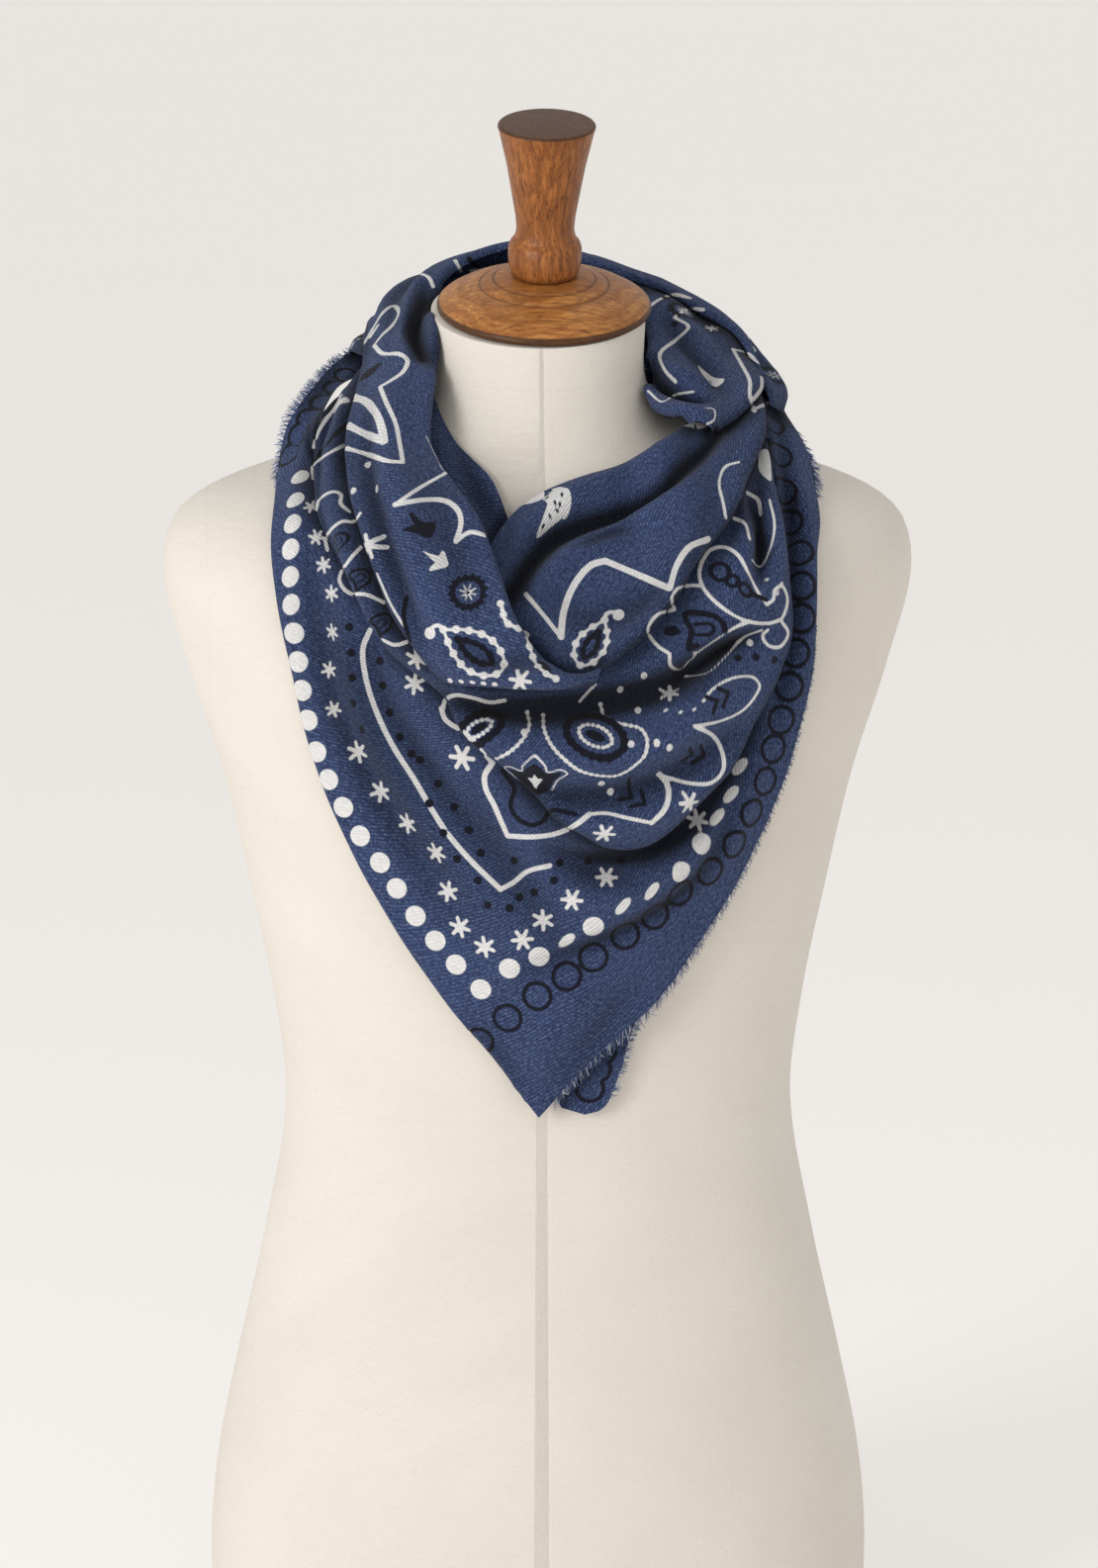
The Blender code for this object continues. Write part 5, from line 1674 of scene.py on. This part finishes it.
def frayed(name, rim, out, surface, lengths, pitch, rng):
    """Loose yarn ends along a raw edge, as one mesh of thin tapered threads."""
    walked = np.concatenate([[0], np.cumsum(np.linalg.norm(np.diff(rim, axis=0), axis=1))])
    count = int(walked[-1] / pitch)
    at = np.sort(rng.uniform(0, walked[-1], count))

    def at_roots(vectors):
        """The rim's vectors at the root of each thread."""
        return np.stack([np.interp(at, walked, vectors[:, axis]) for axis in range(3)], axis=-1)

    root = at_roots(rim)
    way = unit(at_roots(out))
    along = unit(at_roots(np.gradient(rim, axis=0)))
    lift = unit(np.cross(along, way))
    lift = lift * np.sign(np.sum(lift * (root - core_of(root)), axis=-1, keepdims=True))
    reach = (np.interp(at, [0, walked[-1]], lengths) * rng.uniform(0.55, 1.1, count))[:, None]
    lean = rng.normal(0, 0.28, count)[:, None]
    curl = rng.normal(0, 0.22, count)[:, None]
    rise = rng.normal(0.10, 0.16, count)[:, None]
    thick = THREAD_RADIUS * rng.uniform(0.7, 1.3, count)[:, None]
    root = root - way * ROOTED + lift * (rng.uniform(-0.5, 0.3, count)[:, None] * MM)
    points = []
    for step in range(THREAD_STEPS):
        share = step / (THREAD_STEPS - 1)
        centre = (root + way * reach * share + along * reach * (lean * share + curl * share ** 2)
                  + lift * reach * rise * share ** 1.5)
        width = thick * (1.0 - 0.6 * share)
        for side in range(THREAD_SIDES):
            turn = 2 * math.pi * side / THREAD_SIDES
            points.append(centre + (along * math.cos(turn) + lift * math.sin(turn)) * width)
    points = np.stack(points, axis=1)
    faces = np.array(ring_faces(THREAD_STEPS, THREAD_SIDES))
    per_thread = THREAD_STEPS * THREAD_SIDES
    quads = np.concatenate([faces + k * per_thread for k in range(count)])
    shade = np.repeat(rng.uniform(0, 1, count), per_thread)
    return mesh_object(name, points.reshape(-1, 3), quads, surface, {"thread": shade}, sharp=80)


def raw_edge(grid, first, last):
    """The rim of part of a stretch's outer edge and the way out from it."""
    low, high = (round(share * (len(grid) - 1)) for share in (first, last))
    rim = grid[low:high + 1, -1]
    return rim, unit(rim - grid[low:high + 1, -4])


# ---------------------------------------------------------------- surroundings
FLOOR_REACH = 60.0
FLOOR_SIDES = 64
FLOOR_DROP = 0.0005              # under the form, so that the two don't share a plane
FLOOR_GLOW = 0.21
SKY_STRENGTH = 0.73


def stage():
    """A pale floor that fills the picture, and soft light from all round."""
    look = Look("pale_floor")
    place = look.add("ShaderNodeNewGeometry").outputs["Position"]
    colour = look.mix(look.noise(place, 0.8), FLOOR_DEEP, FLOOR_LIGHT)
    surface = look.finish(colour, 0.9, Specular_IOR_Level=0.05, Emission_Color=FLOOR_DEEP,
                          Emission_Strength=FLOOR_GLOW)
    points = [(x, y, 0.0) for x, y in oval(FLOOR_REACH, FLOOR_REACH, FLOOR_SIDES)]
    floor = mesh_object("floor", points, [tuple(range(FLOOR_SIDES))], surface)
    floor.location.z = -FLOOR_DROP
    world = bpy.data.worlds.new("studio")
    world.use_nodes = True
    sky = world.node_tree.nodes["Background"]
    sky.inputs["Color"].default_value = SKY
    sky.inputs["Strength"].default_value = SKY_STRENGTH
    bpy.context.scene.world = world


Lamp = namedtuple("Lamp", "name x y z width height power colour")
LAMPS = [
    Lamp("window", -2.5, -2.6, 1.25, 1.2, 1.6, 62, (1.0, 0.985, 0.965)),
    Lamp("fill", 2.4, -1.8, 1.2, 1.8, 1.8, 2, (1.0, 0.97, 0.93)),
]


def lights():
    """The lamps of the studio, turned to what the camera looks at."""
    for lamp in LAMPS:
        light = bpy.data.lights.new(lamp.name, "AREA")
        light.shape = "RECTANGLE"
        light.size = lamp.width
        light.size_y = lamp.height
        light.energy = lamp.power
        light.color = lamp.colour
        made = bpy.data.objects.new(lamp.name, light)
        made.location = (lamp.x, lamp.y, lamp.z)
        made.rotation_euler = (AIM - made.location).to_track_quat("-Z", "Y").to_euler()
        bpy.context.collection.objects.link(made)


def camera():
    """The camera, at the photograph's viewing angle."""
    lens = bpy.data.cameras.new("camera")
    lens.sensor_fit = "VERTICAL"
    lens.sensor_height = SENSOR
    lens.sensor_width = SENSOR
    lens.lens = SENSOR * CAMERA_DISTANCE / (PICTURE_HEIGHT * PIXEL)
    made = bpy.data.objects.new("camera", lens)
    made.location = EYE
    made.rotation_euler = (-BACK).to_track_quat("-Z", "Y").to_euler()
    bpy.context.collection.objects.link(made)
    bpy.context.scene.camera = made
    bpy.context.scene.view_settings.view_transform = "Standard"


# ---------------------------------------------------------------- the whole scene
def stretches(frame):
    """Every stretch of the scarf, laid in the order in which it was wound."""
    below = [object_tree(frame["nodes"][name]) for name in ("dress_form", "neck_cap")]

    def lay(name, stations, pitch, **shape):
        grid, deep = drape(stations, pitch, below, **shape)
        below.append(grid_tree(grid))
        CLOTHS.append(Cloth(name, grid, deep))

    lay("scarf_under_corner", UNDER_CORNER, COARSE_PITCH, gap=3 * MM)
    lay("scarf_back_under", BACK_UNDER, COARSE_PITCH, bulge=6, creases=BACK_UNDER_CREASES, gap=3 * MM)
    lay("scarf_front_panel", FRONT_PANEL, PANEL_PITCH, bulge=2, creases=PANEL_CREASES, folds=PANEL_FOLDS,
        corner=TIP_STATION)
    lay("scarf_mid_swag", MID_SWAG, FINE_PITCH, bulge=7, creases=SWAG_CREASES, folds=SWAG_FOLDS)
    lay("scarf_back_over", BACK_OVER, COARSE_PITCH, bulge=7, creases=BACK_OVER_CREASES)
    lay("scarf_inner_left", INNER_LEFT, FINE_PITCH, bulge=2, gap=2.5 * MM, folds=INNER_FOLDS)
    lay("scarf_cowl", COWL, FINE_PITCH, bulge=6, folds=COWL_FOLDS, inner_turn=110)
    lay("scarf_right_crest", RIGHT_CREST, FINE_PITCH, bulge=9, creases=CREST_CREASES, folds=CREST_FOLDS,
        inner_turn=110)
    lay("scarf_left_strand", LEFT_STRAND, FINE_PITCH, bulge=9, creases=STRAND_CREASES, folds=STRAND_FOLDS,
        inner_turn=110)


def carried(piece, node):
    """Sets a piece in the place of the solid that it shows."""
    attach(piece, "root")
    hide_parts(node)


def form_pieces():
    """The dress form, its cap and its knob."""
    calico = calico_look()
    body = dress_form(calico)
    cap_wood = wood_look("cap_wood", WOOD_LIGHT, WOOD_DARK, lying=True)
    cap = turned_piece("form_cap", CAP_PROFILE, PIECE_GAP, cap_wood, cap_stain_and_shade)
    knob_wood = wood_look("knob_wood", KNOB_LIGHT, KNOB_DARK)
    knob_foot = CAP_PROFILE[-1].height * MM + 2 * PIECE_GAP
    knob = turned_piece("form_knob", HANDLE_PROFILE, knob_foot, knob_wood, knob_darkening)
    carried(body, "dress_form")
    carried(cap, "neck_cap")
    carried(knob, "cap_handle")


def fringes():
    """The loose ends of every frayed edge, by the stretch whose edge it is."""
    yarn = fray_look()
    rng = np.random.default_rng(SEED)
    loose = {cloth.name: [] for cloth in CLOTHS}
    for fray in FRAYS:
        rim, out = raw_edge(cloth_named(fray.stretch).grid, fray.first, fray.last)
        lengths = (fray.length_first * MM, fray.length_last * MM)
        made = frayed("scarf_" + fray.name, rim, out, yarn, lengths, fray.pitch * MM, rng)
        carried(made, fray.name)
        loose[fray.stretch].append(made)
    return loose


def main():
    """The camera and studio, the form, and the scarf's stretches with their print and loose ends."""
    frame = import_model()
    camera()
    stage()
    lights()
    form_pieces()
    stretches(frame)
    paint_shade_by_edges()
    print_scarf()
    loose = fringes()
    twill = twill_look("scarf_twill_look")
    for cloth in CLOTHS:
        made = cloth_object(cloth, twill)
        carried(made, cloth.name.removeprefix("scarf_"))


main()
